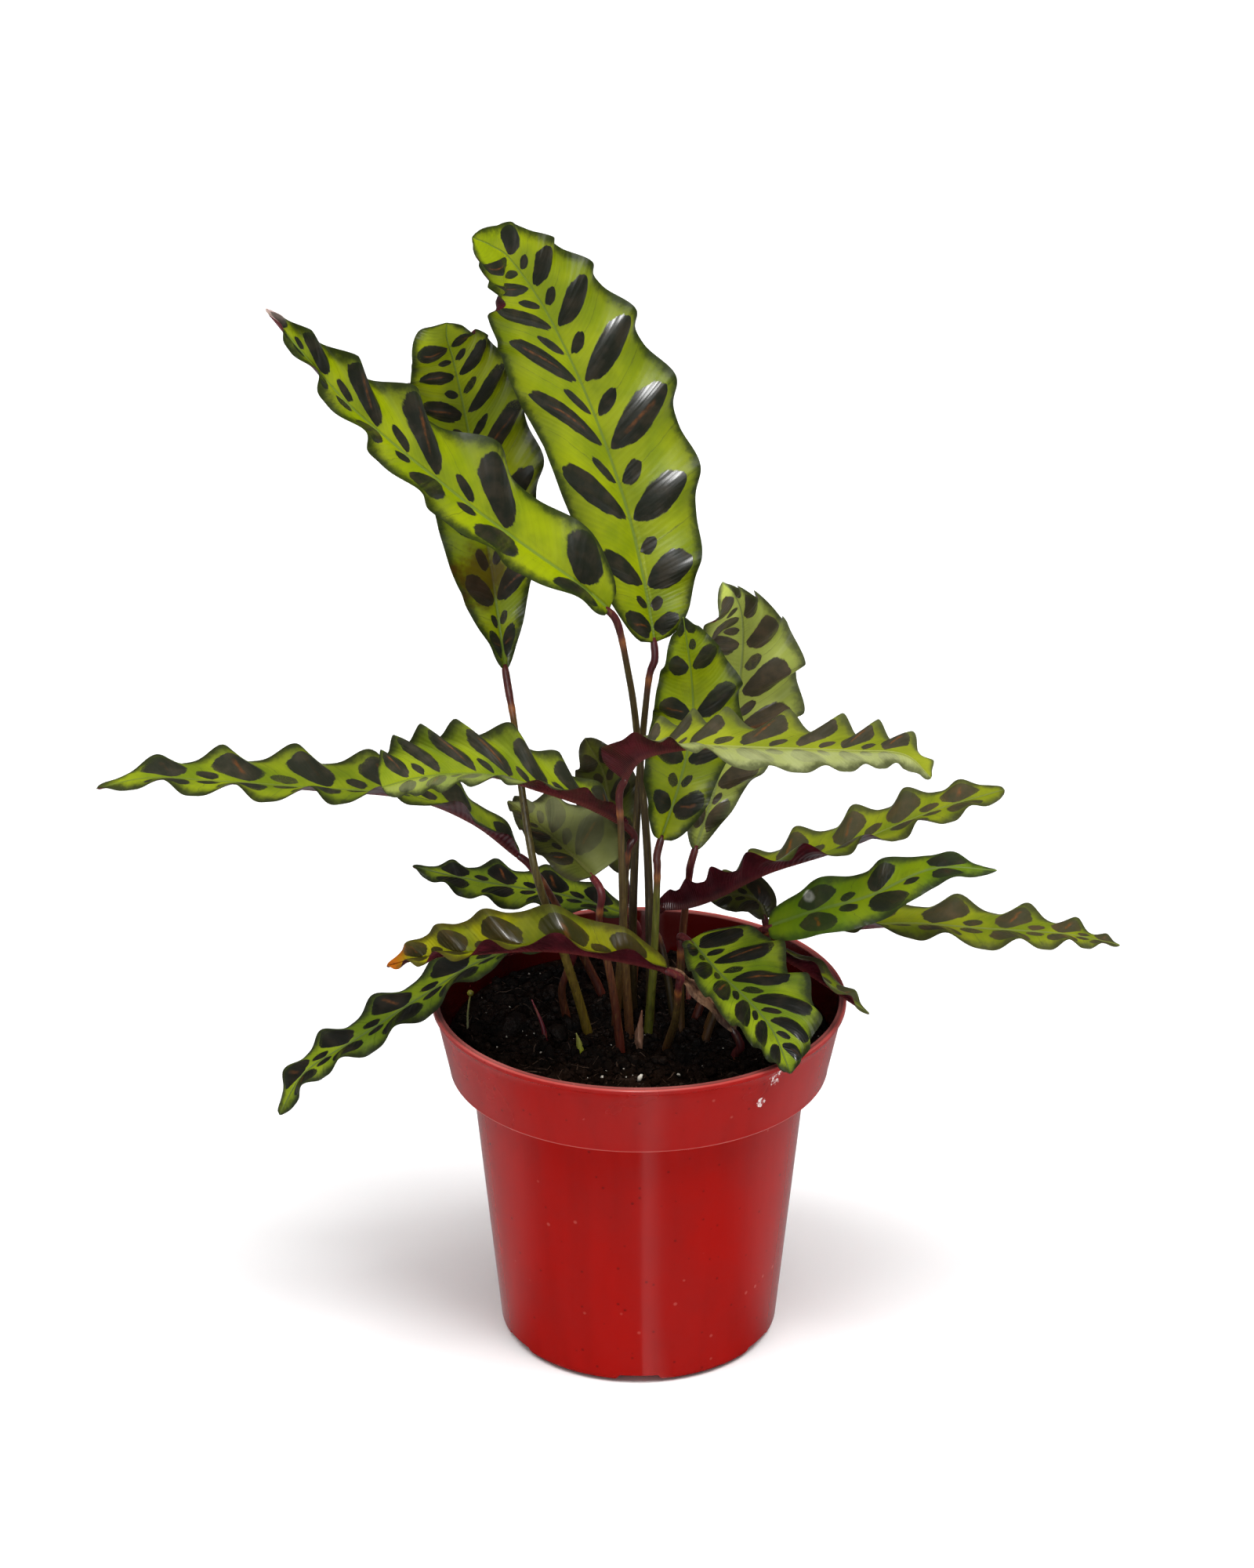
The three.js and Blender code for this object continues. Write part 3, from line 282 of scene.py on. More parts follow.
LEAVES = [
    Leaf(
        "tall_right", "fresh", "dark",
        midrib=[
            (5, 12, 246), (1, 16, 268), (-5, 18, 293), (-16, 15, 327),
            (-29, 7, 359), (-40, -4, 380), (-46, -11, 387), (-52, -15, 391),
        ],
        halves=(29, 27), slant=(1.6, 0.6),
        trim=((0.85, 0.85, 0.8, 1.05, 1.7), (1, 1, 1, 0.94, 0.8)),
        face=[(0.2, -0.9, 0.3), (0.3, -0.9, 0.2), (0.25, -0.8, 0.5)],
        fold=[(30, 22, 15), (22, 10, 5)],
        veins=(0.03, 0.115, 0.25, 0.405, 0.555, 0.69, 0.8, 0.9),
        lift=2.6, belly=0.47, blunt=(0.5, 0.6), calm=(0.45, 1),
        stalk=[(-2, 14), (-2, 11, 150), (0, 10, 197), (3, 11, 232)],
    ),
    Leaf(
        "tall_left", "fresh", "yellow",
        midrib=[
            (-44, 8, 238), (-46, 12, 252), (-51, 15, 290),
            (-55, 12, 318), (-59, 6, 343), (-61, 2, 353), (-61, 0, 359),
        ],
        halves=(19, 21), slant=(0.8, 1.1),
        trim=((1.1, 1.1, 0.92, 0.97, 1.45), (1, 1, 1, 1, 0.95)),
        face=[(0.2, -0.9, 0.3), (0.2, -0.9, 0.3), (0.1, -0.8, 0.5)],
        fold=[(30, 15, 10), (25, 10, 5)],
        veins=(0.06, 0.185, 0.38, 0.565, 0.71, 0.83, 0.92),
        lift=2.6, belly=0.6, blunt=(0.6, 0.45),
        stalk=[(-17, -2), (-25, -8, 142), (-34, -17, 176), (-39, -7, 205), (-41, 1, 221)],
    ),
    Leaf(
        "left_diagonal", "fresh", "dark",
        midrib=[
            (-10, 0, 262), (-20, -5, 273), (-44, -12, 294),
            (-67, -22, 317), (-89, -32, 341), (-102, -38, 359), (-114, -44, 377),
        ],
        halves=(12, 18), slant=(0.7, 1.6),
        trim=((0.8, 1, 0.9, 0.6, 0.3), (1, 1, 1, 1, 1)),
        face=[(0.1, -0.75, 0.6), (0.15, -0.8, 0.5), (0.2, -0.8, 0.5)],
        fold=[(35, 25, 30), (20, 8, 10)],
        veins=(0.09, 0.29, 0.48, 0.65, 0.82, 0.955), reach=0.92, scallop=0.2,
        lift=4, belly=0.4,
        stalk=[(4, 3), (3, 8, 168), (-1, 5, 219), (-4, 3, 241)],
    ),
    Leaf(
        "centre_upright", "fresh", "green",
        midrib=[(7, -8, 184), (13, -6, 203), (17, -6, 223), (17, -8, 240), (14, -14, 265)],
        halves=(13, 17),
        trim=((1, 1.3, 1.15, 1.1, 1), (1, 0.8, 1, 1, 1)),
        face=[(0.2, -0.9, 0.3), (0.2, -0.9, 0.3), (0.1, -0.9, 0.3)],
        fold=[(30, 12, 8), (30, 8, 5)],
        veins=(0.14, 0.345, 0.54, 0.76, 0.95),
        lift=2, belly=0.5,
        stalk=[(3, -3), (5, -7, 140), (6, -9, 172)],
    ),
    Leaf(
        "right_upright", "grey", "red",
        midrib=[
            (19, 28, 164), (25, 31, 183), (31, 32, 207), (34, 28, 231),
            (34, 22, 250), (31, 14, 262), (27, 12, 267),
        ],
        halves=(19, 22),
        trim=((1, 0.8, 1, 1.4, 2.2), (0.6, 0.8, 1, 0.85, 0.2)),
        face=[(0.1, -0.9, 0.3), (0.15, -0.95, 0.2), (0.1, -0.8, 0.5)],
        fold=[(30, 12, 10), (20, 5, 5)],
        veins=(0.1, 0.22, 0.38, 0.53, 0.71, 0.82, 0.93),
        lift=4, belly=0.6,
        stalk=[(14, 30), (15, 31, 130), (17, 29, 152)],
    ),
    Leaf(
        "right_arch", "pale", "brown",
        midrib=[
            (-5, -19, 210), (1, -25, 221), (16, -29, 226), (34, -32, 227),
            (66, -37, 228), (84, -40, 228), (93, -43, 221),
        ],
        halves=(15.5, 14), slant=(0.9, 0.8),
        trim=((1, 1, 1.05, 1.2, 1.3), (1.3, 1.2, 0.8, 0.8, 0.8)),
        face=[(-0.4, 0.1, 0.9), (0, -0.05, 1), (0.2, -0.1, 1)],
        fold=[(30, 8, 5), (75, -12, -15)],
        veins=(0.06, 0.13, 0.2, 0.27, 0.425, 0.585, 0.715, 0.835),
        lift=3.6, belly=0.42, blunt=(0.5, 0.5), calm=(1, 0.5), silver=(0, 0.85),
        stalk=[(-3, -7), (-5, -13, 150), (-6, -16, 190)],
    ),
    Leaf(
        "left_arch", "shade", "brown",
        midrib=[
            (-4, -5, 188), (-18, -13, 199), (-32, -20, 207),
            (-50, -24, 214), (-69, -28, 215), (-83, -32, 213),
        ],
        halves=(12, 18), slant=(0.8, 1.0),
        trim=((1.1, 1, 1, 1, 1), (1, 0.9, 1, 1, 1.3)),
        face=[(0.2, -0.4, 0.9), (-0.1, -0.55, 0.85), (-0.2, -0.55, 0.85)],
        fold=[(85, 60, 10), (20, 5, 5)],
        veins=(0.1, 0.22, 0.38, 0.52, 0.65, 0.78, 0.9),
        lift=3.4, belly=0.62, blunt=(0.5, 0.35), calm=(0.4, 1), silver=(0.35, 0),
        stalk=[(-8, 2), (-6, -2, 140), (-4, -4, 176)],
    ),
    Leaf(
        "far_left", "shade", "red",
        midrib=[
            (-40, 14, 168), (-56, 12, 182), (-77, 9, 192), (-108, 4, 197),
            (-138, -2, 202), (-161, -6, 205), (-178, -10, 203),
        ],
        halves=(14, 16),
        face=[(0.3, -0.2, 0.95), (0, -0.32, 0.95), (-0.1, -0.3, 0.95)],
        fold=[(50, 32, 15), (15, 5, 5)],
        veins=(0.05, 0.17, 0.325, 0.48, 0.655, 0.83),
        lift=3.2, belly=0.5,
        stalk=[(-12, 24), (-18, 23, 124), (-28, 18, 148)],
    ),
    Leaf(
        "back_left_small", "deep", "red",
        midrib=[(-5, 34, 137), (-26, 38, 142), (-47, 42, 144), (-66, 44, 147), (-78, 45, 150)],
        halves=(10, 9),
        face=[(0.1, -0.45, 0.9), (0, -0.45, 0.9), (-0.1, -0.45, 0.9)],
        fold=[(30, 12, 5), (20, 8, 5)],
        veins=(0.12, 0.32, 0.55, 0.78),
        lift=2.6, belly=0.45,
        stalk=[(-2, 33), (-1, 34, 122)],
    ),
    Leaf(
        "front_left_folded", "yellowing", "brown",
        midrib=[
            (9, -32, 148), (-9, -36, 154), (-30, -38, 158), (-55, -37, 156), (-71, -34, 153), (-83, -30, 148),
        ],
        halves=(12, 14),
        face=[(0, -0.75, 0.65), (0, -0.8, 0.6), (0, -0.8, 0.6)],
        fold=[(90, 95, 60), (10, 5, 5)],
        veins=(0.13, 0.33, 0.53, 0.72, 0.86),
        lift=2.4, belly=0.5,
        stalk=[(9, -14), (12, -22, 124), (13, -29, 140)],
    ),
    Leaf(
        "right_upper", "dusty", "dark",
        midrib=[
            (7, 12, 150), (16, 9, 152), (26, 6, 157), (43, 6, 166),
            (69, 8, 174), (98, 10, 186), (122, 12, 193),
        ],
        halves=(12, 14),
        trim=((0.9, 1, 1.1, 1.15, 1.2), (1, 1, 1, 1, 1)),
        face=[(-0.3, 0.25, 0.9), (-0.2, -0.3, 0.9), (-0.2, -0.45, 0.9)],
        fold=[(10, 5, 5), (70, 45, 15)],
        veins=(0.03, 0.1, 0.17, 0.25, 0.37, 0.54, 0.7, 0.87),
        lift=2.8, belly=0.45, blunt=(0.5, 0.5),
        stalk=[(12, 9), (8, 11, 134)],
    ),
    Leaf(
        "right_lower", "dusty", "red",
        midrib=[
            (56, -3, 149), (70, -4, 150), (90, -8, 153), (116, -12, 153), (141, -16, 153), (159, -20, 151),
        ],
        halves=(12, 10),
        face=[(0, -0.1, 1), (0, -0.25, 0.97), (0.1, -0.25, 0.97)],
        fold=[(20, 5, 0), (40, 10, 5)],
        veins=(0.05, 0.19, 0.4, 0.63, 0.81, 0.94),
        lift=2.8, belly=0.5,
        stalk=[(19, 8), (26, 8, 126), (38, 3, 143)],
    ),
    Leaf(
        "right_middle", "bright", "brown",
        midrib=[(43, -8, 152), (58, -15, 161), (76, -20, 169), (96, -23, 180), (117, -24, 180)],
        halves=(10, 10),
        face=[(0, -0.6, 0.8), (0.05, -0.65, 0.75), (0, -0.5, 0.85)],
        fold=[(10, 5, 0), (10, 0, 5)],
        veins=(0.22, 0.5, 0.78),
        lift=2, belly=0.35,
        stalk=[(23, 1), (29, 0, 126), (36, -3, 143)],
    ),
    Leaf(
        "right_olive", "olive", "brown",
        midrib=[(43, 9, 147), (40, 12, 152), (33, 15, 153), (24, 18, 150)],
        halves=(7, 8),
        face=[(0, -0.6, 0.8)] * 3,
        fold=[(15, 5, 5)] * 2,
        veins=(0.25, 0.7),
        lift=1, belly=0.5,
        stalk=[(21, 16), (30, 15, 126), (40, 9, 138)],
    ),
    Leaf(
        "front_right_broad", "deep", "brown",
        midrib=[(17, -10, 148), (26, -24, 143), (35, -38, 140), (43, -50, 135), (49, -60, 124)],
        halves=(21, 15), slant=(0.85, 0.85),
        trim=((1.4, 1.3, 0.9, 1.1, 1.1), (1, 1, 1, 1, 1)),
        face=[(0, -0.6, 0.8), (0, -0.6, 0.8), (0.1, -0.7, 0.7)],
        fold=[(10, 0, -5), (45, 35, 20)],
        veins=(0.07, 0.2, 0.36, 0.54, 0.7, 0.85),
        lift=1.8, belly=0.5,
        stalk=[(14, -4), (14, -4, 128), (14, -4, 143)],
    ),
    Leaf(
        "right_rim_small", "dusty", "brown",
        midrib=[(44, -14, 147), (56, -19, 141), (66, -25, 136), (76, -31, 131)],
        halves=(6, 8),
        face=[(0.3, -0.2, 0.95)] * 3,
        fold=[(10, 10, 10), (60, 50, 30)],
        veins=(0.3, 0.7),
        lift=1.4, belly=0.4,
        stalk=[(22, -8), (28, -8, 126), (36, -11, 143)],
    ),
    Leaf(
        "left_rim_long", "deep", "red",
        midrib=[
            (-26, -3, 143), (-38, -6, 143), (-53, -10, 140), (-71, -14, 130),
            (-93, -20, 117), (-111, -26, 107), (-120, -30, 93),
        ],
        halves=(9, 11),
        trim=((1, 1, 1, 1, 1), (1, 0.8, 0.8, 0.95, 1)),
        face=[(0, -0.4, 0.9), (-0.2, -0.45, 0.85), (-0.3, -0.4, 0.85)],
        fold=[(45, 15, 10), (5, 5, 5)],
        veins=(0.14, 0.3, 0.5, 0.7, 0.86),
        lift=2.8, belly=0.45, blunt=(0.5, 0.5),
        stalk=[(-24, 5), (-26, 2, 124)],
    ),
    Leaf(
        "centre_front_small", "olive", "red",
        midrib=[(-15, -22, 177), (-26, -8, 182), (-37, 6, 186), (-44, 14, 188)],
        halves=(9, 20),
        face=[(0, -0.35, 0.93)] * 3,
        fold=[(5, 5, 5), (5, 15, 10)],
        veins=(0.22, 0.5, 0.78),
        lift=2, belly=0.3, blunt=(0.42, 0.8), silver=(0, 0.35),
        stalk=[(-6, -16), (-9, -19, 136), (-13, -23, 160)],
    ),
    Leaf(
        "back_centre", "olive", "dark",
        midrib=[(-5, 20, 159), (-9, 22, 178), (-12, 20, 196), (-18, 14, 211)],
        halves=(12, 10),
        face=[(0.1, -0.9, 0.3)] * 3,
        fold=[(25, 12, 8)] * 2,
        veins=(0.22, 0.5, 0.78),
        lift=2, belly=0.55,
        stalk=[(-6, 18), (-5, 18, 140)],
    ),
    Leaf(
        "dried", "dry", "brown",
        midrib=[(32, -19, 119), (26, -18, 127), (18, -15, 134), (10, -14, 140)],
        halves=(4, 4),
        face=[(-0.3, -0.8, 0.5)] * 3,
        fold=[(50, 50, 50)] * 2,
        veins=(0.3, 0.7),
        lift=1, belly=0.5,
        stalk=[(32, -18)],
    ),
]

# Young shoots and a dried sheath: name, slot, route upward, and from below to above the radii and
# the colours, from 0 to 255.
SHOOTS = [
    (
        "shoot_green", "leaf", [(-19, -16), (-20, -16, 112), (-21, -17, 117)], (1.3, 1.5, 0.12),
        [(120, 130, 40), (176, 186, 40), (214, 214, 120)],
    ),
    (
        "shoot_red_left", "shoot", [(-31, -11), (-32, -9, 114), (-36, -8, 125)], (1.0, 0.8, 0.2),
        [(64, 14, 24), (104, 22, 40), (146, 60, 70)],
    ),
    (
        "shoot_red_centre", "shoot", [(17, 17), (17, 17, 114), (16, 18, 121)], (1.1, 1.1, 0.3),
        [(110, 24, 30), (150, 40, 40), (210, 150, 130)],
    ),
    (
        "dried_sheath", "dry", [(1, -12), (0, -13, 114), (1, -14, 124)], (1.3, 2.2, 0.3),
        [(140, 92, 70), (206, 158, 130), (150, 96, 70)],
    ),
    (
        "seedling", "leaf", [(-58, 2), (-58, 2, 114), (-57, 3, 122)], (0.4, 0.35, 0.3),
        [(196, 196, 170), (190, 196, 140), (168, 170, 50)],
    ),
]


# Settings that a user would change.

class PotSettings(bpy.types.PropertyGroup):
    sides: IntProperty(name="Sides", description="Faces round the pot's wall", default=192, min=24)
    colour: FloatVectorProperty(
        name="Plastic", description="Colour of the moulded plastic", subtype="COLOR",
        size=3, default=srgb(160, 14, 8), min=0, max=1,
    )
    roughness: FloatProperty(
        name="Roughness", description="How matt the plastic is", default=0.16, min=0, max=1,
        subtype="FACTOR",
    )


class SoilSettings(bpy.types.PropertyGroup):
    crumbs: IntProperty(name="Crumbs", description="Loose crumbs on the soil", default=3200, min=0)
    crumb_size: FloatProperty(
        name="Crumb size", description="Radius of an average crumb", default=1.0 * MM, unit="LENGTH",
    )
    fibres: IntProperty(name="Fibres", description="Peat fibres on the soil", default=300, min=0)
    pale_bits: IntProperty(name="Pale bits", description="White specks on the soil", default=150, min=0)
    colour: FloatVectorProperty(
        name="Peat", description="Colour of the peat", subtype="COLOR", size=3,
        default=srgb(24, 14, 8), min=0, max=1,
    )


class LeafSettings(bpy.types.PropertyGroup):
    rows_per_wave: IntProperty(
        name="Rows per wave", description="Faces along one wave of the margin", default=22, min=4,
    )
    columns: IntProperty(
        name="Columns", description="Faces from the midrib to the margin", default=14, min=2,
    )
    thickness: FloatProperty(
        name="Thickness", description="Thickness of a blade", default=0.45 * MM, unit="LENGTH",
    )
    margin: FloatProperty(
        name="Dark margin", description="Width of the dark band along the margin", default=3.0 * MM,
        unit="LENGTH",
    )
    underside: FloatVectorProperty(
        name="Underside", description="Colour of the blades' undersides", subtype="COLOR", size=3,
        default=srgb(84, 22, 32), min=0, max=1,
    )


class StalkSettings(bpy.types.PropertyGroup):
    steps: IntProperty(name="Steps", description="Faces along a stalk", default=96, min=8)
    sides: IntProperty(name="Sides", description="Faces round a stalk", default=14, min=6)
    joint_length: FloatProperty(
        name="Joint length", description="Length of the thick joint below the blade",
        default=15 * MM, unit="LENGTH",
    )
    joint_swell: FloatProperty(
        name="Joint swell", description="How much thicker the joint is", default=0.25, min=0,
    )


class StageSettings(bpy.types.PropertyGroup):
    distance: FloatProperty(
        name="Camera distance", description="From the camera to what it looks at",
        default=1.4, unit="LENGTH",
    )
    elevation: FloatProperty(
        name="Camera elevation", description="Height of the camera above the horizon, as an angle",
        default=math.radians(23.46), subtype="ANGLE",
    )
    focal_length: FloatProperty(
        name="Focal length", description="Lens of the camera in millimetres", default=97.36,
    )
    floor_radius: FloatProperty(
        name="Floor radius", description="Radius of the pale floor", default=9.0, unit="LENGTH",
    )
    sun_strength: FloatProperty(
        name="Soft suns", description="Strength of the left soft light; the right one is stronger",
        default=1.4, min=0,
    )
    sun_softness: FloatProperty(
        name="Softness", description="How wide the two soft lights are, as an angle",
        default=math.radians(32), subtype="ANGLE",
    )
    sky_strength: FloatProperty(
        name="Surroundings", description="Strength of the even light from all round", default=0.42, min=0,
    )
    panel_power: FloatProperty(
        name="Panel", description="Power of the panel that makes the gleams", default=18.0, min=0,
    )


# Shared helpers for meshes.

class Route:
    """A smooth route through points: each stretch is a cubic whose slope at a point is half the
    way from the point before to the point after. Places on it go by share of its length."""

    def __init__(self, points):
        points = np.array(points, float)
        before = 2 * points[0] - points[1]
        after = 2 * points[-1] - points[-2]
        self.points = np.vstack([before, points, after])
        self.shares = np.linspace(0, 1, CURVE_SAMPLES + 1)
        chords = np.linalg.norm(np.diff(self.cubic(self.shares), axis=0), axis=-1)
        self.travelled = np.concatenate([[0], np.cumsum(chords)])
        self.length = self.travelled[-1]

    def cubic(self, share):
        stretches = len(self.points) - 3
        place = np.clip(share, 0, 1) * stretches
        first = np.minimum(place.astype(int), stretches - 1)
        w = (place - first)[..., None]
        a, b, c, d = (self.points[first + step] for step in range(4))
        slope_b, slope_c = (c - a) / 2, (d - b) / 2
        cube = (2 * b - 2 * c + slope_b + slope_c) * w ** 3
        square = (3 * c - 3 * b - 2 * slope_b - slope_c) * w ** 2
        return cube + square + slope_b * w + b

    def share_at(self, u):
        return np.interp(np.asarray(u) * self.length, self.travelled, self.shares)

    def at(self, u):
        return self.cubic(self.share_at(u))

    def tangent(self, u):
        share, nudge = self.share_at(u), 1e-4
        return unit(self.cubic(share + nudge) - self.cubic(share - nudge))


def unit(vectors):
    """Vectors of length one in the same directions."""
    return vectors / np.maximum(np.linalg.norm(vectors, axis=-1, keepdims=True), 1e-12)


def dot(a, b):
    """Dot products along the last axis, which is kept."""
    return np.sum(a * b, axis=-1, keepdims=True)


def smooth(value, low, high):
    """0 below low, 1 above high, and an S-shaped cubic between."""
    x = np.clip((value - low) / (high - low), 0, 1)
    return x * x * (3 - 2 * x)


def between(ends, share):
    """A value that goes from one end to the other in a straight line."""
    return ends[0] + (ends[1] - ends[0]) * share


def blend3(values, u):
    """Straight lines between values at the base, middle and tip, at u."""
    return np.interp(u, [0, 0.5, 1], values)


def blend3_rows(rows, u):
    """blend3 for rows of three numbers, such as colours or directions."""
    rows = np.array(rows)
    return np.stack([blend3(rows[:, axis], u) for axis in range(3)], axis=-1)


def lattice_noise(points, frequency, seed):
    """Value noise from 0 to 1: random numbers on a cubic lattice, hashed from its corner numbers,
    blended between the eight corners by an S-shaped cubic."""
    scaled = np.asarray(points) * frequency
    cell = np.floor(scaled).astype(np.int64)
    part = scaled - cell
    part = part * part * (3 - 2 * part)
    total = 0
    for corner in np.ndindex(2, 2, 2):
        place = cell + corner
        mixed = place[..., 0] * 73856093 ^ place[..., 1] * 19349663 ^ place[..., 2] * 83492791
        mixed = (mixed ^ seed * 668265263) & 0xFFFFFFFF
        mixed = (mixed ^ mixed >> 15) * 2246822519 & 0xFFFFFFFF
        mixed = (mixed ^ mixed >> 13) * 3266489917 & 0xFFFFFFFF
        value = (mixed ^ mixed >> 16 & 0xFFFF) % 65536 / 65535
        weight = np.prod(np.where(np.array(corner) == 1, part, 1 - part), axis=-1)
        total = total + value * weight
    return total


def build_mesh(name, points, faces, materials, face_materials=None):
    """A smooth-shaded object from points in millimetres and a list of arrays of face corners, all
    of the same length in one array. It sits at the origin with its place in its mesh."""
    mesh = bpy.data.meshes.new(name)
    corners = [face for array in faces for face in array.tolist()]
    mesh.from_pydata(np.asarray(points) * MM, [], corners)
    for material in materials:
        mesh.materials.append(material)
    if face_materials is not None:
        mesh.polygons.foreach_set("material_index", np.asarray(face_materials, np.int32))
    if mesh.validate():
        raise RuntimeError(f"the mesh of {name} had faces that don't hold together")
    mesh.shade_smooth()
    thing = bpy.data.objects.new(name, mesh)
    bpy.context.scene.collection.objects.link(thing)
    return thing


def set_numbers(thing, name, values):
    """Stores one number for each vertex."""
    attribute = thing.data.attributes.new(name, "FLOAT", "POINT")
    attribute.data.foreach_set("value", np.asarray(values, np.float32).ravel())


def set_colours(thing, name, colours):
    """Stores one colour for each vertex."""
    attribute = thing.data.attributes.new(name, "FLOAT_COLOR", "POINT")
    solid = np.concatenate([colours, np.ones((len(colours), 1))], axis=1)
    attribute.data.foreach_set("color", solid.astype(np.float32).ravel())


def set_uv(thing, name, places):
    """Stores a UV map from one place for each vertex."""
    mesh = thing.data
    corners = np.zeros(len(mesh.loops), np.int32)
    mesh.loops.foreach_get("vertex_index", corners)
    layer = mesh.uv_layers.new(name=name)
    layer.uv.foreach_set("vector", np.asarray(places, np.float32)[corners].ravel())


def settle(thing, slot, *nodes):
    """Makes a piece ride on the plant's one body and stand for the model's own solids."""
    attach(thing, "root")
    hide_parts(*nodes)
    return thing


def turns(sides):
    """Angles round a circle, in radians."""
    return np.arange(sides) * 2 * np.pi / sides


def ring_faces(rings, sides):
    """Quads between rings of vertices that follow one another, each ring closed on itself."""
    ring, side = np.meshgrid(np.arange(rings - 1), np.arange(sides), indexing="ij")
    low = ring * sides
    following = (side + 1) % sides
    quads = [low + side, low + following, low + sides + following, low + sides + side]
    return np.stack(quads, axis=-1).reshape(-1, 4)


def cap_faces(pole, first, sides, upward):
    """Triangles from a pole vertex to a ring."""
    side = np.arange(sides)
    ring = [first + side, first + (side + 1) % sides]
    corners = ring if upward else ring[::-1]
    return np.stack([*corners, np.full(sides, pole)], axis=-1)


def closed(rings, first_pole, last_pole):
    """Points and faces of a closed surface: rings of places that follow one another, and a pole at
    each end."""
    count, sides, _ = rings.shape
    pole = count * sides
    first_cap = cap_faces(pole, 0, sides, False)
    last_cap = cap_faces(pole + 1, pole - sides, sides, True)
    points = np.vstack([rings.reshape(-1, 3), first_pole, last_pole])
    return points, [ring_faces(count, sides), np.vstack([first_cap, last_cap])]


def tube(route, radii, steps, sides, flatten=1.0, roughen=None):
    """A closed round rod: at each step a circle of the step's radius stands square to the route,
    turned so that its first direction is as near to +Y as it can be. roughen may change the
    radius by share of the length and angle. Gives points, faces, and each vertex's share."""
    share = np.linspace(0, 1, steps + 1)
    along = route.tangent(share)
    towards = np.array([0.0, 1.0, 0.0])
    first = unit(towards - dot(along, towards[None, :]) * along)
    second = np.cross(along, first)
    angle = turns(sides)
    radius = np.broadcast_to(np.asarray(radii(share))[:, None], (steps + 1, sides))
    if roughen is not None:
        radius = radius * roughen(share[:, None], angle[None, :])
    centre = route.at(share)
    across = first[:, None, :] * (radius * np.cos(angle))[..., None]
    sideways = second[:, None, :] * (radius * np.sin(angle) * flatten)[..., None]
    points, faces = closed(centre[:, None, :] + across + sideways, centre[0], centre[-1])
    return points, faces, np.concatenate([np.repeat(share, sides), [0, 1]])


def joined(parts):
    """One set of points and faces from several."""
    points, faces, shift = [], [], 0
    for part_points, part_faces in parts:
        points.append(part_points)
        faces.extend(array + shift for array in part_faces)
        shift += len(part_points)
    return np.vstack(points), faces


# Shared helpers for materials.

def place(tree, kind, values=None, **settings):
    """Adds a node, with its settings and its inputs' values or links."""
    node = tree.nodes.new(kind)
    for name, value in settings.items():
        setattr(node, name, value)
    for key, value in (values or {}).items():
        feed(node.inputs[key], value)
    return node


def give(tree, kind, values=None, output=0, **settings):
    """Adds a node and gives the value of one of its outputs."""
    return Value(place(tree, kind, values, **settings).outputs[output])


def feed(socket, value):
    """Links a socket to a value, or gives it a constant."""
    if isinstance(value, Value):
        value.tree.links.new(value.socket, socket)
    elif isinstance(value, tuple) and len(value) == 3 and socket.type == "RGBA":
        socket.default_value = (*value, 1)
    else:
        socket.default_value = value


class Value:
    """What one output of a node gives: a number, colour, place or normal. Sums, products and the
    methods below add nodes to the same tree, so that a material's code reads like its formulas."""

    def __init__(self, socket):
        self.socket = socket
        self.tree = socket.id_data

    def maths(self, operation, *others):
        """The result of one Math node whose first input is this value."""
        inputs = dict(enumerate((self, *others)))
        return give(self.tree, "ShaderNodeMath", inputs, operation=operation)

    def __add__(self, other):
        return self.maths("ADD", other)

    def __sub__(self, other):
        return self.maths("SUBTRACT", other)

    def __mul__(self, other):
        return self.maths("MULTIPLY", other)

    def __truediv__(self, other):
        return self.maths("DIVIDE", other)

    def rise(self, low, high, bottom=0, top=1):
        """From bottom to top, in an S curve, as this goes from low to high."""
        values = {"Value": self, "From Min": low, "From Max": high, "To Min": bottom, "To Max": top}
        return give(self.tree, "ShaderNodeMapRange", values, interpolation_type="SMOOTHSTEP")

    def mix(self, a, b):
        """Two colours mixed: a where this is 0, and b where it is 1."""
        return give(self.tree, "ShaderNodeMix", {0: self, 6: a, 7: b}, 2, data_type="RGBA")

    def noise(self, scale, detail=2, roughness=0.5):
        """Fractal noise from 0 to 1 at this place."""
        values = {"Vector": self, "Scale": scale, "Detail": detail, "Roughness": roughness}
        return give(self.tree, "ShaderNodeTexNoise", values)

    def parts(self, kind="XYZ"):
        """X, Y and Z of this place, or with the kind Color red, green and blue of this colour."""
        node = place(self.tree, f"ShaderNodeSeparate{kind}", {0: self})
        return [Value(socket) for socket in node.outputs]

    def stretched(self, scale):
        """This place with its height scaled."""
        return give(self.tree, "ShaderNodeMapping", {"Vector": self, "Scale": (1, 1, scale)})

    def distance_to(self, centre):
        """Metres from this place to a centre that is given in millimetres."""
        values = {0: self, 1: tuple(value * MM for value in centre)}
        return give(self.tree, "ShaderNodeVectorMath", values, "Value", operation="DISTANCE")

    def bump(self, distance, strength=1):
        """A normal from this height between 0 and 1, distance metres high."""
        values = {"Height": self, "Distance": distance, "Strength": strength}
        return give(self.tree, "ShaderNodeBump", values)


def combined(tree, **values):
    """A place from its X, Y and Z."""
    return give(tree, "ShaderNodeCombineXYZ", values)


def attribute(tree, name, output="Fac"):
    """A number, or a colour, that the mesh holds for each vertex."""
    return give(tree, "ShaderNodeAttribute", output=output, attribute_name=name)


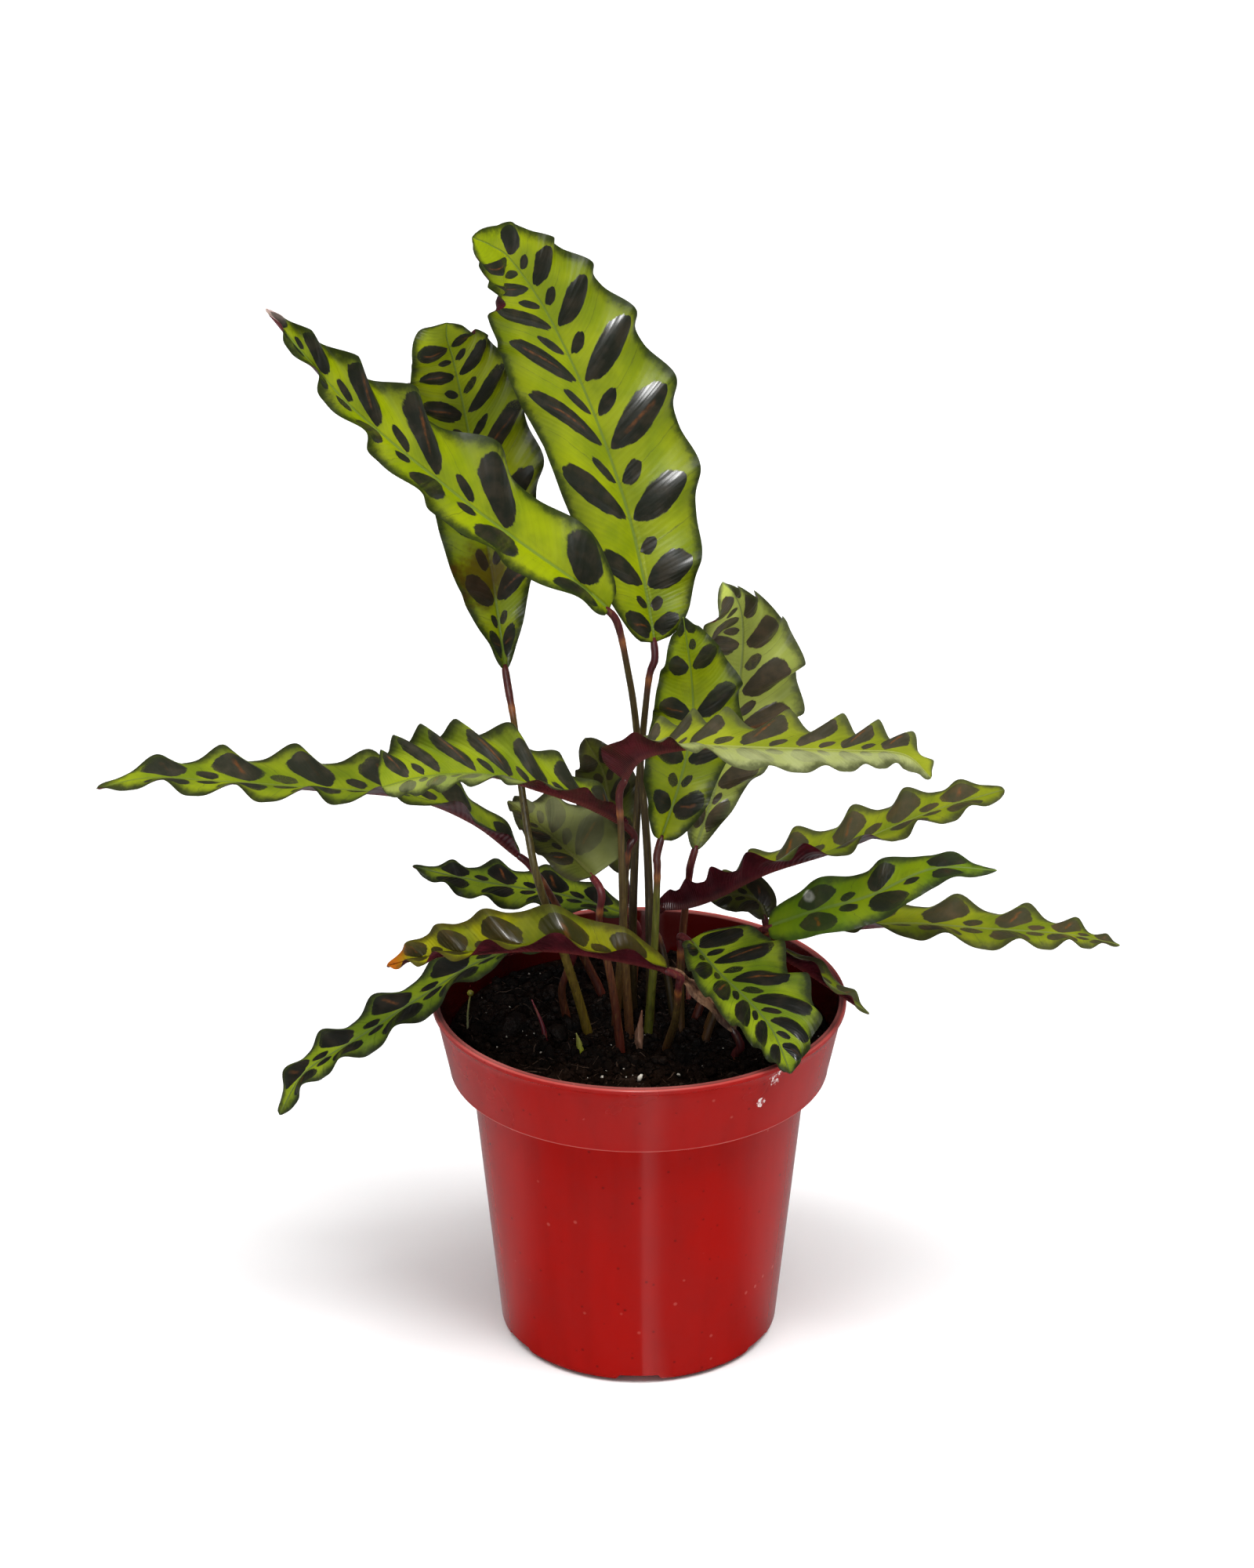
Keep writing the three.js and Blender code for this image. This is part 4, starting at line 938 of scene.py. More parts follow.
def new_group(name, inputs, outputs):
    """An empty node group, the values given to it by name, and the sockets of what it gives."""
    tree = bpy.data.node_groups.new(name, "ShaderNodeTree")
    for socket, kind in inputs.items():
        tree.interface.new_socket(name=socket, in_out="INPUT", socket_type=f"NodeSocket{kind}")
    for socket in outputs:
        tree.interface.new_socket(name=socket, in_out="OUTPUT", socket_type="NodeSocketFloat")
    given = tree.nodes.new("NodeGroupInput").outputs
    return {socket: Value(given[socket]) for socket in inputs}, tree.nodes.new("NodeGroupOutput").inputs


def grouped(tree, name, **values):
    """What a node of a group gives, in its order. The group is built when it is first wanted."""
    if name not in bpy.data.node_groups:
        GROUPS[name]()
    node = place(tree, "ShaderNodeGroup", values, node_tree=bpy.data.node_groups[name])
    return [Value(socket) for socket in node.outputs]


def dress(shader, **values):
    """Links or constants for a shader's own sockets. A space in a socket's name is written as _."""
    for socket, value in values.items():
        feed(shader.inputs[socket.replace("_", " ")], value)


def new_material(name, **constants):
    """A material with one Principled BSDF and its constants. Gives the material, the shader and the
    place in the piece's own coordinates, in metres."""
    material = bpy.data.materials.new(name)
    material.use_nodes = True
    tree = material.node_tree
    tree.nodes.clear()
    shader = place(tree, "ShaderNodeBsdfPrincipled")
    output = place(tree, "ShaderNodeOutputMaterial")
    tree.links.new(shader.outputs["BSDF"], output.inputs["Surface"])
    dress(shader, **constants)
    return material, shader, give(tree, "ShaderNodeTexCoord", output="Object")


def build_speckle_group():
    """Speckle: sparse small round spots. A cell pattern's distance is cut off close to each cell's
    centre, and only cells whose own random number passes the share get a spot."""
    inputs = {"Place": "Vector", "Scale": "Float", "Share": "Float"}
    given, out = new_group("Speckle", inputs, ["Mask"])
    values = {"Vector": given["Place"], "Scale": given["Scale"]}
    cells = place(given["Place"].tree, "ShaderNodeTexVoronoi", values).outputs
    chosen = Value(cells["Color"]).parts("Color")[0].maths("LESS_THAN", given["Share"])
    feed(out["Mask"], chosen * Value(cells["Distance"]).rise(0.12, 0.3, 1, 0))


def build_marks_group():
    """Leaf marks: long spear shapes where Wave is a whole number, from near the midrib to Reach, and
    short ones halfway between. A mark's half-width is a power of a sine over its own length, so that
    it is pointed at the midrib. Each takes random numbers from its cell, its side and the seed."""
    names = ("Wave", "Across", "Seed", "Reach", "Width", "Last")
    given, out = new_group("Leaf marks", dict.fromkeys(names, "Float"), ["Marks", "Streak"])
    wave, across, seed, reach, width, last_vein = given.values()
    tree = wave.tree
    side = across.maths("GREATER_THAN", 0) * SIDE_KEY
    wobble = combined(tree, X=wave * 9, Y=across * 5, Z=seed).noise(1, 4, 0.6) - 0.5
    wave = wave + wobble * 0.1
    outward = across.maths("ABSOLUTE") + wobble * 0.05

    def mark(shift, inner, outer, half_width):
        moved = wave + shift
        cell = moved.maths("ROUND")
        values = {"Vector": combined(tree, X=cell, Y=side, Z=seed)}
        split = give(tree, "ShaderNodeTexWhiteNoise", values, "Color").parts("Color")
        length = (split[1] * 0.16 + 0.92) * outer - inner
        share = give(tree, "ShaderNodeClamp", {"Value": (outward - inner) / length})
        half_turn = share.maths("POWER", 1.1) * math.pi
        shape = half_turn.maths("SINE").maths("MAXIMUM", 0).maths("POWER", 0.55)
        wide = (split[0] * 0.3 + 0.85) * half_width
        offset = (moved - cell).maths("ABSOLUTE")
        inside = (shape * wide - offset).rise(-MARK_SOFTNESS, MARK_SOFTNESS)
        first = cell.maths("GREATER_THAN", 0.5 + 2 * shift)
        last = cell.maths("LESS_THAN", last_vein + 0.5)
        return inside * (first * last), offset / wide, shape, split

    long_mask, across_mark, shape, split = mark(0, LONG_MARK_START, reach, width)
    short_mask, _, _, short_split = mark(0.5, SHORT_MARK_START, SHORT_MARK_END, width * 0.3 + 0.06)
    short_mask = short_mask * short_split[2].maths("GREATER_THAN", 1 - SHORT_MARK_SHARE)
    streak = across_mark.rise(0, 0.16, 1, 0) * shape.rise(0.7, 0.95)
    feed(out["Marks"], long_mask.maths("MAXIMUM", short_mask))
    feed(out["Streak"], streak * split[2].maths("GREATER_THAN", 1 - BROWNED_SHARE))


GROUPS = {"Speckle": build_speckle_group, "Leaf marks": build_marks_group}


def speckled(at, colour, scale, share, strength, tint):
    """A colour with sparse spots of another on it, and the spots' mask."""
    spots, = grouped(at.tree, "Speckle", Place=at, Scale=scale, Share=share)
    return (spots * strength).mix(colour, srgb(*tint)), spots


def patch(at, centre, radius):
    """Mask of one patch: 1 near its place, falling to 0 at the radius, with a border that noise
    makes ragged. Centre and radius are in millimetres."""
    radius = radius * MM
    ragged = at.noise(260, 4) * radius + (at.distance_to(centre) - radius * 0.5)
    return ragged.rise(radius * 0.4, radius, 1, 0)


def pleats(wave, across, seed):
    """Soft pleats from midrib to margin: noise that is fine along the midrib and long across it."""
    return combined(wave.tree, X=wave * 7, Y=across * 1.3, Z=seed).noise(1)


def leaf_map_of(at):
    """At which main vein and how far across the blade a point is, and a wave for its side veins."""
    wave, across, _ = give(at.tree, "ShaderNodeUVMap", uv_map="leaf_map").parts()
    return wave, across, (wave * (2 * math.pi * SIDE_VEINS)).maths("SINE")


def blade_material(look, settings):
    """A blade's upper side: two greens mixed by noise and darker towards the margin, dark marks with
    a brown streak in some, a dark fuzzy margin, a light midrib, a pale painted sheen on some halves,
    and patches, one of them partly a painted shadow.
    A coat in strands polishes the marks, and pleats along the side veins are deeper on them."""
    wide, *tints = BLADE_LOOKS[look]
    light, dark, mark, brown_mark, margin, rib = (srgb(*tint) for tint in tints)
    material, shader, at = new_material(f"Blade {look}", Specular_IOR_Level=0.2, Coat_Roughness=0.2)
    wave, across, veins = leaf_map_of(at)
    silver, from_edge, from_rib, along, seed, reach, last_vein = (
        attribute(at.tree, name)
        for name in ("silver", "from_edge", "from_rib", "along", "seed", "reach", "veins")
    )
    marks, streak = grouped(
        at.tree, "Leaf marks", Wave=wave, Across=across, Seed=seed, Reach=reach,
        Width=wide, Last=last_vein,
    )
    ground = at.noise(60, 3).rise(0.36, 0.64).mix(light, dark)
    ground = across.maths("ABSOLUTE").rise(0.55, 1, 0, 0.4).mix(ground, margin)
    ground = veins.rise(0.3, 1, 0, 0.04).mix(ground, margin)
    mark = at.noise(190, 4).rise(0.4, 0.7).mix(mark, brown_mark)
    grain = at.noise(500, 3).rise(0.35, 0.65)
    mark = (streak * (grain * 0.5 + 0.2)).mix(mark, STREAK_TINT)
    colour = marks.mix(ground, mark)
    # Painted sheen: some halves are mixed towards a pale silvery tint, as glossy leaves look at a slant.
    colour = (silver * at.noise(150, 3).rise(0.2, 0.7, 0.7, 1)).mix(colour, PAINTED_SHEEN_TINT)
    fuzz = at.noise(300, 5, 0.65) * 5 + (from_edge - 2.5)
    colour = fuzz.rise(0.3, 0.8 + settings.margin / MM, 0.92, 0).mix(colour, margin)
    from_rib = from_rib / (along * -0.7 + 1)
    colour = from_rib.rise(0.45, 0.9, 0.85, 0).mix(colour, rib)
    # Patches, weaker on the marks; the brown one on the tall left leaf is partly a painted shadow.
    for centre, radius, tint, strength in BLADE_STAINS_AND_PAINTED_SHADOW.get(look, ()):
        patch_strength = marks * (-0.7 * strength) + strength
        colour = (patch(at, centre, radius) * patch_strength).mix(colour, srgb(*tint))
    strands = pleats(wave * 4, across, seed).rise(0.4, 0.62, 0.12, 1)
    fine = at.noise(900, 3) * 0.08 + veins * 0.04
    groove = from_rib.rise(0.3, 1.3, -0.4, 0)
    folds = (pleats(wave, across, seed) - 0.5) * (marks * 0.9 + 0.25)
    dress(
        shader, Base_Color=colour, Roughness=at.noise(90, 3).rise(0.3, 0.7, 0.34, 0.42),
        Coat_Weight=marks * strands, Normal=(fine + groove + folds).bump(0.0005),
    )
    return material


def underside_material(settings):
    """A blade's maroon underside: mottled and glossy, with fine side veins and a lighter midrib."""
    material, shader, at = new_material("Blade underside", Roughness=0.34, Specular_IOR_Level=0.5)
    colour = at.noise(120, 4).rise(0.3, 0.7).mix(tuple(settings.underside), srgb(58, 14, 22))
    veins = leaf_map_of(at)[2]
    colour = veins.rise(0.3, 1, 0, 0.16).mix(colour, srgb(44, 10, 16))
    colour = attribute(at.tree, "from_rib").rise(0.5, 1.4, 0.6, 0).mix(colour, srgb(104, 44, 40))
    fine = at.noise(900, 3) * 0.6 + veins * 0.4
    dress(shader, Base_Color=colour, Normal=fine.bump(0.00012))
    return material


def dry_material():
    """Dried leaf: papery brown with darker folds."""
    material, shader, at = new_material("Dried leaf", Roughness=0.75)
    folds = at.stretched(0.3).noise(500, 4)
    colour = folds.rise(0.35, 0.65).mix(srgb(104, 66, 44), srgb(192, 148, 112))
    dress(shader, Base_Color=colour, Normal=folds.bump(0.0004))
    return material


def stem_material(name, roughness):
    """Stalks and shoots: the tint stored along them, streaked lengthwise and finely speckled."""
    material, shader, at = new_material(name, Roughness=roughness, Specular_IOR_Level=0.5)
    streaks = at.stretched(0.06).noise(1600, 3)
    colour = streaks.rise(0.4, 0.75, 0, 0.5).mix(attribute(at.tree, "tint", "Color"), srgb(52, 20, 18))
    colour = streaks.rise(0.45, 0.2, 0, 0.35).mix(colour, srgb(178, 150, 84))
    colour, _ = speckled(at, colour, 700, 0.2, 0.5, (40, 18, 14))
    dress(shader, Base_Color=colour, Normal=streaks.bump(0.00015))
    return material


def scrape(at, centre, radius):
    """Mask of one scrape: a ball round its place, of which fine noise leaves only shreds."""
    near = at.distance_to(centre).rise(radius * MM * 0.5, radius * MM, 0, -0.3)
    return (at.stretched(0.7).noise(900, 5, 0.75) + near).rise(0.48, 0.54)


def pot_material(settings):
    """Glossy moulded plastic: soft clouds and faint streaks down the wall, fine pits, dust specks,
    painted highlights as paler lines at the lip and below the collar, painted shade darkening the
    inside, a less glossy collar, and a few white scrapes on the collar at the front right."""
    material, shader, at = new_material("Pot plastic", Specular_IOR_Level=0.5)
    base = tuple(settings.colour)
    deep, shaded = (tuple(value * share for value in base) for share in (0.62, 0.12))
    clouds = at.noise(28, 4)
    colour = at.stretched(0.05).noise(160, 3).rise(0.35, 0.8, 0, 0.3).mix(base, deep)
    colour = clouds.rise(0.4, 0.8, 0, 0.35).mix(colour, deep)
    x, y, z = at.parts()
    flat = {0: combined(at.tree, X=x, Y=y)}
    out = give(at.tree, "ShaderNodeVectorMath", flat, "Value", operation="LENGTH")
    slope = (RIM_RADIUS - COLLAR_BOTTOM_RADIUS) / (POT_HEIGHT - COLLAR_BOTTOM_Z)
    outer = z * slope + (COLLAR_BOTTOM_RADIUS - slope * COLLAR_BOTTOM_Z) * MM
    collar = z.rise((COLLAR_BOTTOM_Z - 1) * MM, COLLAR_BOTTOM_Z * MM)
    # Painted shade: the inside of the collar is made much darker, as shade from leaves and soil.
    inside = collar * (outer - out).rise(0.6 * MM, 1.2 * MM)
    colour = (inside * 0.95).mix(colour, shaded)
    colour, pits = speckled(at, colour, 420, 0.08, 0.5, (60, 6, 8))
    colour, _ = speckled(at, colour, 330, 0.02, 0.3, (210, 110, 100))
    # Painted highlights: paler lines along the lip and the collar's lower edge, broken up by the clouds.
    lip = z.rise((POT_HEIGHT - 0.7) * MM, (POT_HEIGHT - 0.2) * MM)
    collar_edge_highlight = collar * z.rise((COLLAR_BOTTOM_Z + 0.3) * MM, (COLLAR_BOTTOM_Z + 0.8) * MM, 1, 0)
    painted_edge_highlights = (lip * 0.55).maths("MAXIMUM", collar_edge_highlight) * clouds.rise(0.3, 0.7, 0.4, 0.85)
    colour = painted_edge_highlights.mix(colour, srgb(222, 128, 120))
    scraped, *others = (scrape(at, centre, radius) for centre, radius in POT_SCRAPES)
    for mask in others:
        scraped = scraped.maths("MAXIMUM", mask)
    colour = (scraped * 0.95).mix(colour, srgb(236, 222, 220))
    wear = collar * 0.1 + clouds.rise(0.3, 0.7, -0.03, 0.04)
    uneven = at.noise(60) * 0.8 + pits * -0.2
    dress(
        shader, Base_Color=colour, Roughness=scraped * 0.4 + (wear + settings.roughness),
        Normal=uneven.bump(0.00012, 0.5),
    )
    return material


def soil_material(settings):
    """Peat: nearly black crumbs with lighter brown ones among them, and a wet gleam on some."""
    material, shader, at = new_material("Peat", Specular_IOR_Level=0.2)
    colour = at.noise(420, 4).rise(0.5, 0.8, 0, 0.7).mix(tuple(settings.colour), srgb(58, 44, 36))
    colour = at.noise(130, 3).rise(0.4, 0.7, 0, 0.8).mix(colour, srgb(8, 5, 3))
    gleam = at.noise(260).rise(0.4, 0.6, 0.4, 0.9)
    dress(shader, Base_Color=colour, Roughness=gleam, Normal=at.noise(900, 5).bump(0.0012))
    return material


def plain_bits_material(name, light, dark, roughness):
    """Small loose bits: two colours mixed by noise."""
    material, shader, at = new_material(name, Roughness=roughness)
    dress(shader, Base_Color=at.noise(700).mix(light, dark))
    return material


# Pot.

def collar_inner_radius(z):
    """Inside of the collar: a straight slope from its foot to the lip, less the wall."""
    slope = (RIM_RADIUS - RIM_LIP - COLLAR_BOTTOM_RADIUS) / (POT_HEIGHT - COLLAR_BOTTOM_Z)
    return COLLAR_BOTTOM_RADIUS + slope * (z - COLLAR_BOTTOM_Z) - POT_WALL


def body_radius(z):
    """Outside of the body: a straight slope from the base to the collar."""
    return BODY_BOTTOM_RADIUS + (BODY_TOP_RADIUS - BODY_BOTTOM_RADIUS) * z / COLLAR_BOTTOM_Z


def inner_radius(z):
    """Inside of the pot at any height."""
    return collar_inner_radius(z) if z > COLLAR_BOTTOM_Z else body_radius(z) - POT_WALL


def arc(centre, radius, start, stop, count=6):
    """Points of a round corner of a profile, between two angles in degrees."""
    angle = np.radians(np.linspace(start, stop, count))
    return [(centre[0] + radius * math.cos(a), centre[1] + radius * math.sin(a)) for a in angle]


def pot_profile():
    """Radius and height of the pot's section, from the middle of the underside out, up the wall,
    over the lip, down the inside and back to the axis."""
    rounding, corner, edge = EDGE_ROUNDING, COLLAR_CORNER, COLLAR_EDGE_ROUNDING
    lip_bottom = POT_HEIGHT - LIP_HEIGHT
    base_edge = body_radius(BASE_CORNER)
    profile = [(0, 0), (CENTRE_FOOT_RADIUS - 2, 0)]
    profile += arc((CENTRE_FOOT_RADIUS, rounding), rounding, -90, -20, 4)
    profile += [(CENTRE_FOOT_RADIUS + rounding, FOOT_HEIGHT), (BODY_BOTTOM_RADIUS - FOOT_WIDTH, FOOT_HEIGHT)]
    profile += [(BODY_BOTTOM_RADIUS - BASE_CORNER - FOOT_LAND, 0)]
    profile += arc((base_edge - BASE_CORNER, BASE_CORNER), BASE_CORNER, -90, 0, 10)
    profile += [(body_radius(z), z) for z in np.linspace(BASE_CORNER * 2, COLLAR_BOTTOM_Z - 1.2 * corner, 24)]
    profile += arc((BODY_TOP_RADIUS + corner, COLLAR_BOTTOM_Z - corner), corner, 180, 90, 5)
    profile += arc((COLLAR_BOTTOM_RADIUS - edge, COLLAR_BOTTOM_Z + edge), edge, -90, 5, 7)
    top_of_collar = (RIM_RADIUS - RIM_LIP, lip_bottom - 0.8)
    foot_of_collar = (COLLAR_BOTTOM_RADIUS + 0.15, COLLAR_BOTTOM_Z + 2)
    profile += list(zip(*(np.linspace(*ends, 10) for ends in zip(foot_of_collar, top_of_collar))))
    profile += arc((RIM_RADIUS - rounding, lip_bottom + rounding), rounding, -60, 0, 5)
    profile += arc((RIM_RADIUS - rounding, POT_HEIGHT - rounding), rounding, 0, 90, 6)
    profile += [(RIM_RADIUS - 1.3, POT_HEIGHT - 0.35), (RIM_RADIUS - 1.7, POT_HEIGHT - 0.35)]
    profile += arc((RIM_RADIUS - 2.2, POT_HEIGHT - LIP_STEP), LIP_STEP, 60, 180, 5)
    profile += [(collar_inner_radius(z), z) for z in np.linspace(lip_bottom, LEDGE_Z, 8)]
    profile += [(body_radius(LEDGE_Z) - POT_WALL, LEDGE_Z)]
    profile += [(inner_radius(z), z) for z in np.linspace(LEDGE_Z - 4, FLOOR_TOP + FLOOR_CORNER, 8)]
    profile += [(inner_radius(FLOOR_TOP) - FLOOR_CORNER, FLOOR_TOP), (0, FLOOR_TOP)]
    return np.array(profile)


def turned(profile, sides):
    """A profile turned round +Z: each point but the first and last, which are poles on the axis,
    makes a ring."""
    angle = turns(sides)
    rim = profile[1:-1]
    x, y = rim[:, :1] * np.cos(angle), rim[:, :1] * np.sin(angle)
    rings = np.stack([x, y, np.broadcast_to(rim[:, 1:], x.shape)], axis=-1)
    return closed(rings, (0, 0, profile[0][1]), (0, 0, profile[-1][1]))


def prism(outline, low, high):
    """A convex outline of places in X and Z, drawn out along Y."""
    count = len(outline)
    front = np.array([(x, low, z) for x, z in outline])
    points = np.vstack([front, front + (0, high - low, 0)])
    side = np.arange(count)
    following = (side + 1) % count
    walls = np.stack([side + count, following + count, following, side], axis=-1)
    ends = np.stack([side, side[::-1] + count])
    return points, [walls, ends]


def rotated(points, angle):
    """Points turned about +Z."""
    c, s = math.cos(angle), math.sin(angle)
    return points @ np.array([(c, s, 0), (-s, c, 0), (0, 0, 1)])


def pot_cutters():
    """The foot ring's notches and the drain holes, as closed solids to take away."""
    half_below, half_above = NOTCH_WIDTH_BELOW / 2, NOTCH_WIDTH_ABOVE / 2
    widen = (half_below - half_above) * NOTCH_OVERRUN / NOTCH_HEIGHT
    outline = [
        (-half_below - widen, -NOTCH_OVERRUN), (half_below + widen, -NOTCH_OVERRUN),
        (half_above, NOTCH_HEIGHT), (-half_above, NOTCH_HEIGHT),
    ]
    near = -BODY_BOTTOM_RADIUS - NOTCH_OVERRUN
    notch, notch_faces = prism(outline, near, near + FOOT_WIDTH + 2 * NOTCH_OVERRUN)
    circle = np.array([(DRAIN_RADIUS, -FLOOR_TOP), (DRAIN_RADIUS, 2 * FLOOR_TOP)])
    profile = np.vstack([(0, -FLOOR_TOP), circle, (0, 2 * FLOOR_TOP)])
    drain, drain_faces = turned(profile, 24)
    drain = drain + (0, -DRAIN_CIRCLE, 0)
    parts = [(rotated(notch, 2 * math.pi * i / FOOT_NOTCHES), notch_faces) for i in range(FOOT_NOTCHES)]
    for i in range(DRAIN_HOLES):
        parts.append((rotated(drain, 2 * math.pi * (i + 0.5) / DRAIN_HOLES), drain_faces))
    return joined(parts)


class PLANT_OT_pot(bpy.types.Operator):
    """Turns the pot and cuts its notches and drain holes"""

    bl_idname = "plant.pot"
    bl_label = "Pot"

    def execute(self, context):
        settings = context.scene.plant_pot
        points, faces = turned(pot_profile(), settings.sides)
        pot = build_mesh("nursery_pot", points, faces, [pot_material(settings)])
        cutter = build_mesh("pot_cutter", *pot_cutters(), [])
        cut = pot.modifiers.new("Notches and drains", "BOOLEAN")
        cut.object = cutter
        cut.operation = "DIFFERENCE"
        cut.solver = "EXACT"
        with context.temp_override(object=pot, active_object=pot, selected_objects=[pot]):
            bpy.ops.object.modifier_apply(modifier=cut.name)
        bpy.data.meshes.remove(cutter.data)
        pot.data.set_sharp_from_angle(angle=math.radians(POT_SHARP_ANGLE))
        settle(pot, "pot", "pot")
        return {"FINISHED"}


# Soil.

def soil_height(x, y):
    """Height of the soil's skin: its level, a low crown, and broad and fine ripples that die out
    at the wall."""
    reach = np.hypot(x, y) / inner_radius(SOIL_LEVEL)
    along_x = np.sin(BROAD_RIPPLE[0] * x + BROAD_SHIFT[0])
    along_y = np.cos(BROAD_RIPPLE[1] * y + BROAD_SHIFT[1])
    ripples = along_x * along_y + FINE_SHARE * np.sin(FINE_RIPPLE[0] * x + FINE_RIPPLE[1] * y)
    return SOIL_LEVEL + RIPPLE_HEIGHT * ripples * (1 - reach ** 4) + SOIL_CROWN * (1 - reach ** 2)


def crumbled(x, y):
    """The soil's skin with lumps and grains: three sizes of noise. The lumps' two are squared, so
    that lumps stand out of wide hollows."""
    places = np.stack([x, y, np.zeros_like(x)], axis=-1)
    rough = 0
    for height, frequency, seed in SOIL_LUMPS:
        rough = rough + height * (lattice_noise(places, frequency, seed) ** 2 - 0.3)
    height, frequency, seed = SOIL_GRAINS
    rough = rough + height * (lattice_noise(places, frequency, seed) - 0.5)
    reach = np.hypot(x, y) / inner_radius(SOIL_LEVEL)
    return soil_height(x, y) + rough * (1 - reach ** 8)


def soil_body():
    """The soil: rings of the crumbled skin from the wall inwards to a pole, on a wall and bottom
    that follow the pot's inside."""
    bottom = FLOOR_TOP + GAP
    wall = [
        (inner_radius(bottom) - FLOOR_CORNER - GAP, bottom),
        (inner_radius(FLOOR_TOP + FLOOR_CORNER) - GAP, FLOOR_TOP + FLOOR_CORNER + GAP),
        (body_radius(LEDGE_Z) - POT_WALL - GAP, LEDGE_Z + GAP),
        (collar_inner_radius(LEDGE_Z) - GAP, LEDGE_Z + GAP),
    ]
    angle = turns(SOIL_SIDES)
    edge = inner_radius(SOIL_LEVEL) - GAP
    radius = np.concatenate([[r for r, _ in wall], edge * np.linspace(1, 1 / SOIL_RINGS, SOIL_RINGS)])
    x = radius[:, None] * np.cos(angle)
    y = radius[:, None] * np.sin(angle)
    z = crumbled(x, y)
    z[:len(wall)] = np.array([height for _, height in wall])[:, None]
    top = float(crumbled(np.zeros(1), np.zeros(1))[0])
    return closed(np.stack([x, y, z], axis=-1), (0, 0, bottom), (0, 0, top))


def icosahedron():
    """The twelve corners and twenty faces of a ball with few faces."""
    golden = (1 + math.sqrt(5)) / 2
    flat = [(a, b * golden) for a in (-1, 1) for b in (-1, 1)]
    corners = [(0, a, b) for a, b in flat] + [(a, b, 0) for a, b in flat] + [(b, 0, a) for a, b in flat]
    corners = np.array(corners)
    gaps = np.linalg.norm(corners[:, None] - corners[None], axis=-1)
    near = np.abs(gaps - 2) < 0.01
    faces = []
    for a, b, c in combinations(range(len(corners)), 3):
        if near[a, b] and near[b, c] and near[a, c]:
            outward = np.dot(np.cross(corners[b] - corners[a], corners[c] - corners[a]), corners[a])
            faces.append((a, b, c) if outward > 0 else (a, c, b))
    return unit(corners), np.array(faces)


def random_turns(random, count):
    """Rotation matrices from random unit quaternions."""
    q = unit(random.normal(size=(count, 4)))
    w, x, y, z = q.T
    rows = [
        (1 - 2 * (y * y + z * z), 2 * (x * y - z * w), 2 * (x * z + y * w)),
        (2 * (x * y + z * w), 1 - 2 * (x * x + z * z), 2 * (y * z - x * w)),
        (2 * (x * z - y * w), 2 * (y * z + x * w), 1 - 2 * (x * x + y * y)),
    ]
    return np.stack([np.stack(row, axis=-1) for row in rows], axis=1)


def scattered(random, count, inset):
    """Random places on the soil, even over its area, in millimetres."""
    radius = (inner_radius(SOIL_LEVEL) - inset) * np.sqrt(random.uniform(size=count))
    angle = random.uniform(0, 2 * np.pi, size=count)
    return radius * np.cos(angle), radius * np.sin(angle)


def lumps(random, count, size, inset, lift):
    """Small balls with few faces, each squashed and stretched at random, its corners pushed in or
    out, turned at random and sunk partly into the soil's skin."""
    corners, faces = icosahedron()
    x, y = scattered(random, count, inset)
    scale = size * random.lognormal(0, SIZE_SPREAD, size=(count, 1, 1))
    stretch = random.uniform(*STRETCH, size=(count, 1, 3))
    dents = random.uniform(*DENTS, size=(count, len(corners), 1))
    shapes = corners[None] * dents * stretch * scale
    shapes = np.einsum("nij,nkj->nki", random_turns(random, count), shapes)
    z = crumbled(x, y) + scale[:, 0, 0] * lift
    centres = np.stack([x, y, z], axis=-1)
    points = (shapes + centres[:, None]).reshape(-1, 3)
    shifts = (np.arange(count) * len(corners))[:, None, None]
    return points, [(faces[None] + shifts).reshape(-1, 3)]


def fibres(random, count):
    """Thin crooked fibres: a bowed line of places lies on the soil's skin, and a section of a few
    sides is carried along it, thinner at both ends."""
    x, y = scattered(random, count, FIBRE_INSET)
    heading = random.uniform(0, 2 * np.pi, size=count)
    length = random.uniform(*FIBRE_LENGTH, size=count)
    bow = random.uniform(*FIBRE_BOW, size=count) * length
    share = np.linspace(-0.5, 0.5, FIBRE_PLACES)
    forward = share[None] * length[:, None]
    sideways = bow[:, None] * (0.25 - share[None] ** 2) * 2
    c, s = np.cos(heading)[:, None], np.sin(heading)[:, None]
    px = x[:, None] + forward * c - sideways * s
    py = y[:, None] + forward * s + sideways * c
    reach = inner_radius(SOIL_LEVEL) - FIBRE_INSET
    inside = np.minimum(1, reach / np.maximum(np.hypot(px, py), 1))
    px, py = px * inside, py * inside
    tilt = random.uniform(*FIBRE_TILT, size=count)[:, None] * forward
    pz = crumbled(px, py) + FIBRE_LIFT + np.maximum(tilt, FIBRE_LOWEST)
    middle = np.stack([px, py, pz], axis=-1)
    thick = random.uniform(*FIBRE_RADIUS, size=(count, 1)) * (1.15 - 2 * np.abs(share[None]))
    out = np.stack([-s, c, np.zeros_like(c)], axis=-1)
    angle = turns(FIBRE_SIDES)
    rise_up = np.array([0.0, 0.0, 1.0])
    spokes = out[:, :, None, :] * np.cos(angle)[None, None, :, None]
    spokes = spokes + rise_up * np.sin(angle)[None, None, :, None]
    points = (middle[:, :, None, :] + spokes * thick[:, :, None, None]).reshape(-1, 3)
    quads = ring_faces(FIBRE_PLACES, FIBRE_SIDES)
    first = np.arange(FIBRE_SIDES)
    corners = FIBRE_PLACES * FIBRE_SIDES
    ends = np.stack([first[::-1], first + corners - FIBRE_SIDES])
    shifts = (np.arange(count) * corners)[:, None, None]
    return points, [(quads[None] + shifts).reshape(-1, 4), (ends[None] + shifts).reshape(-1, 3)]


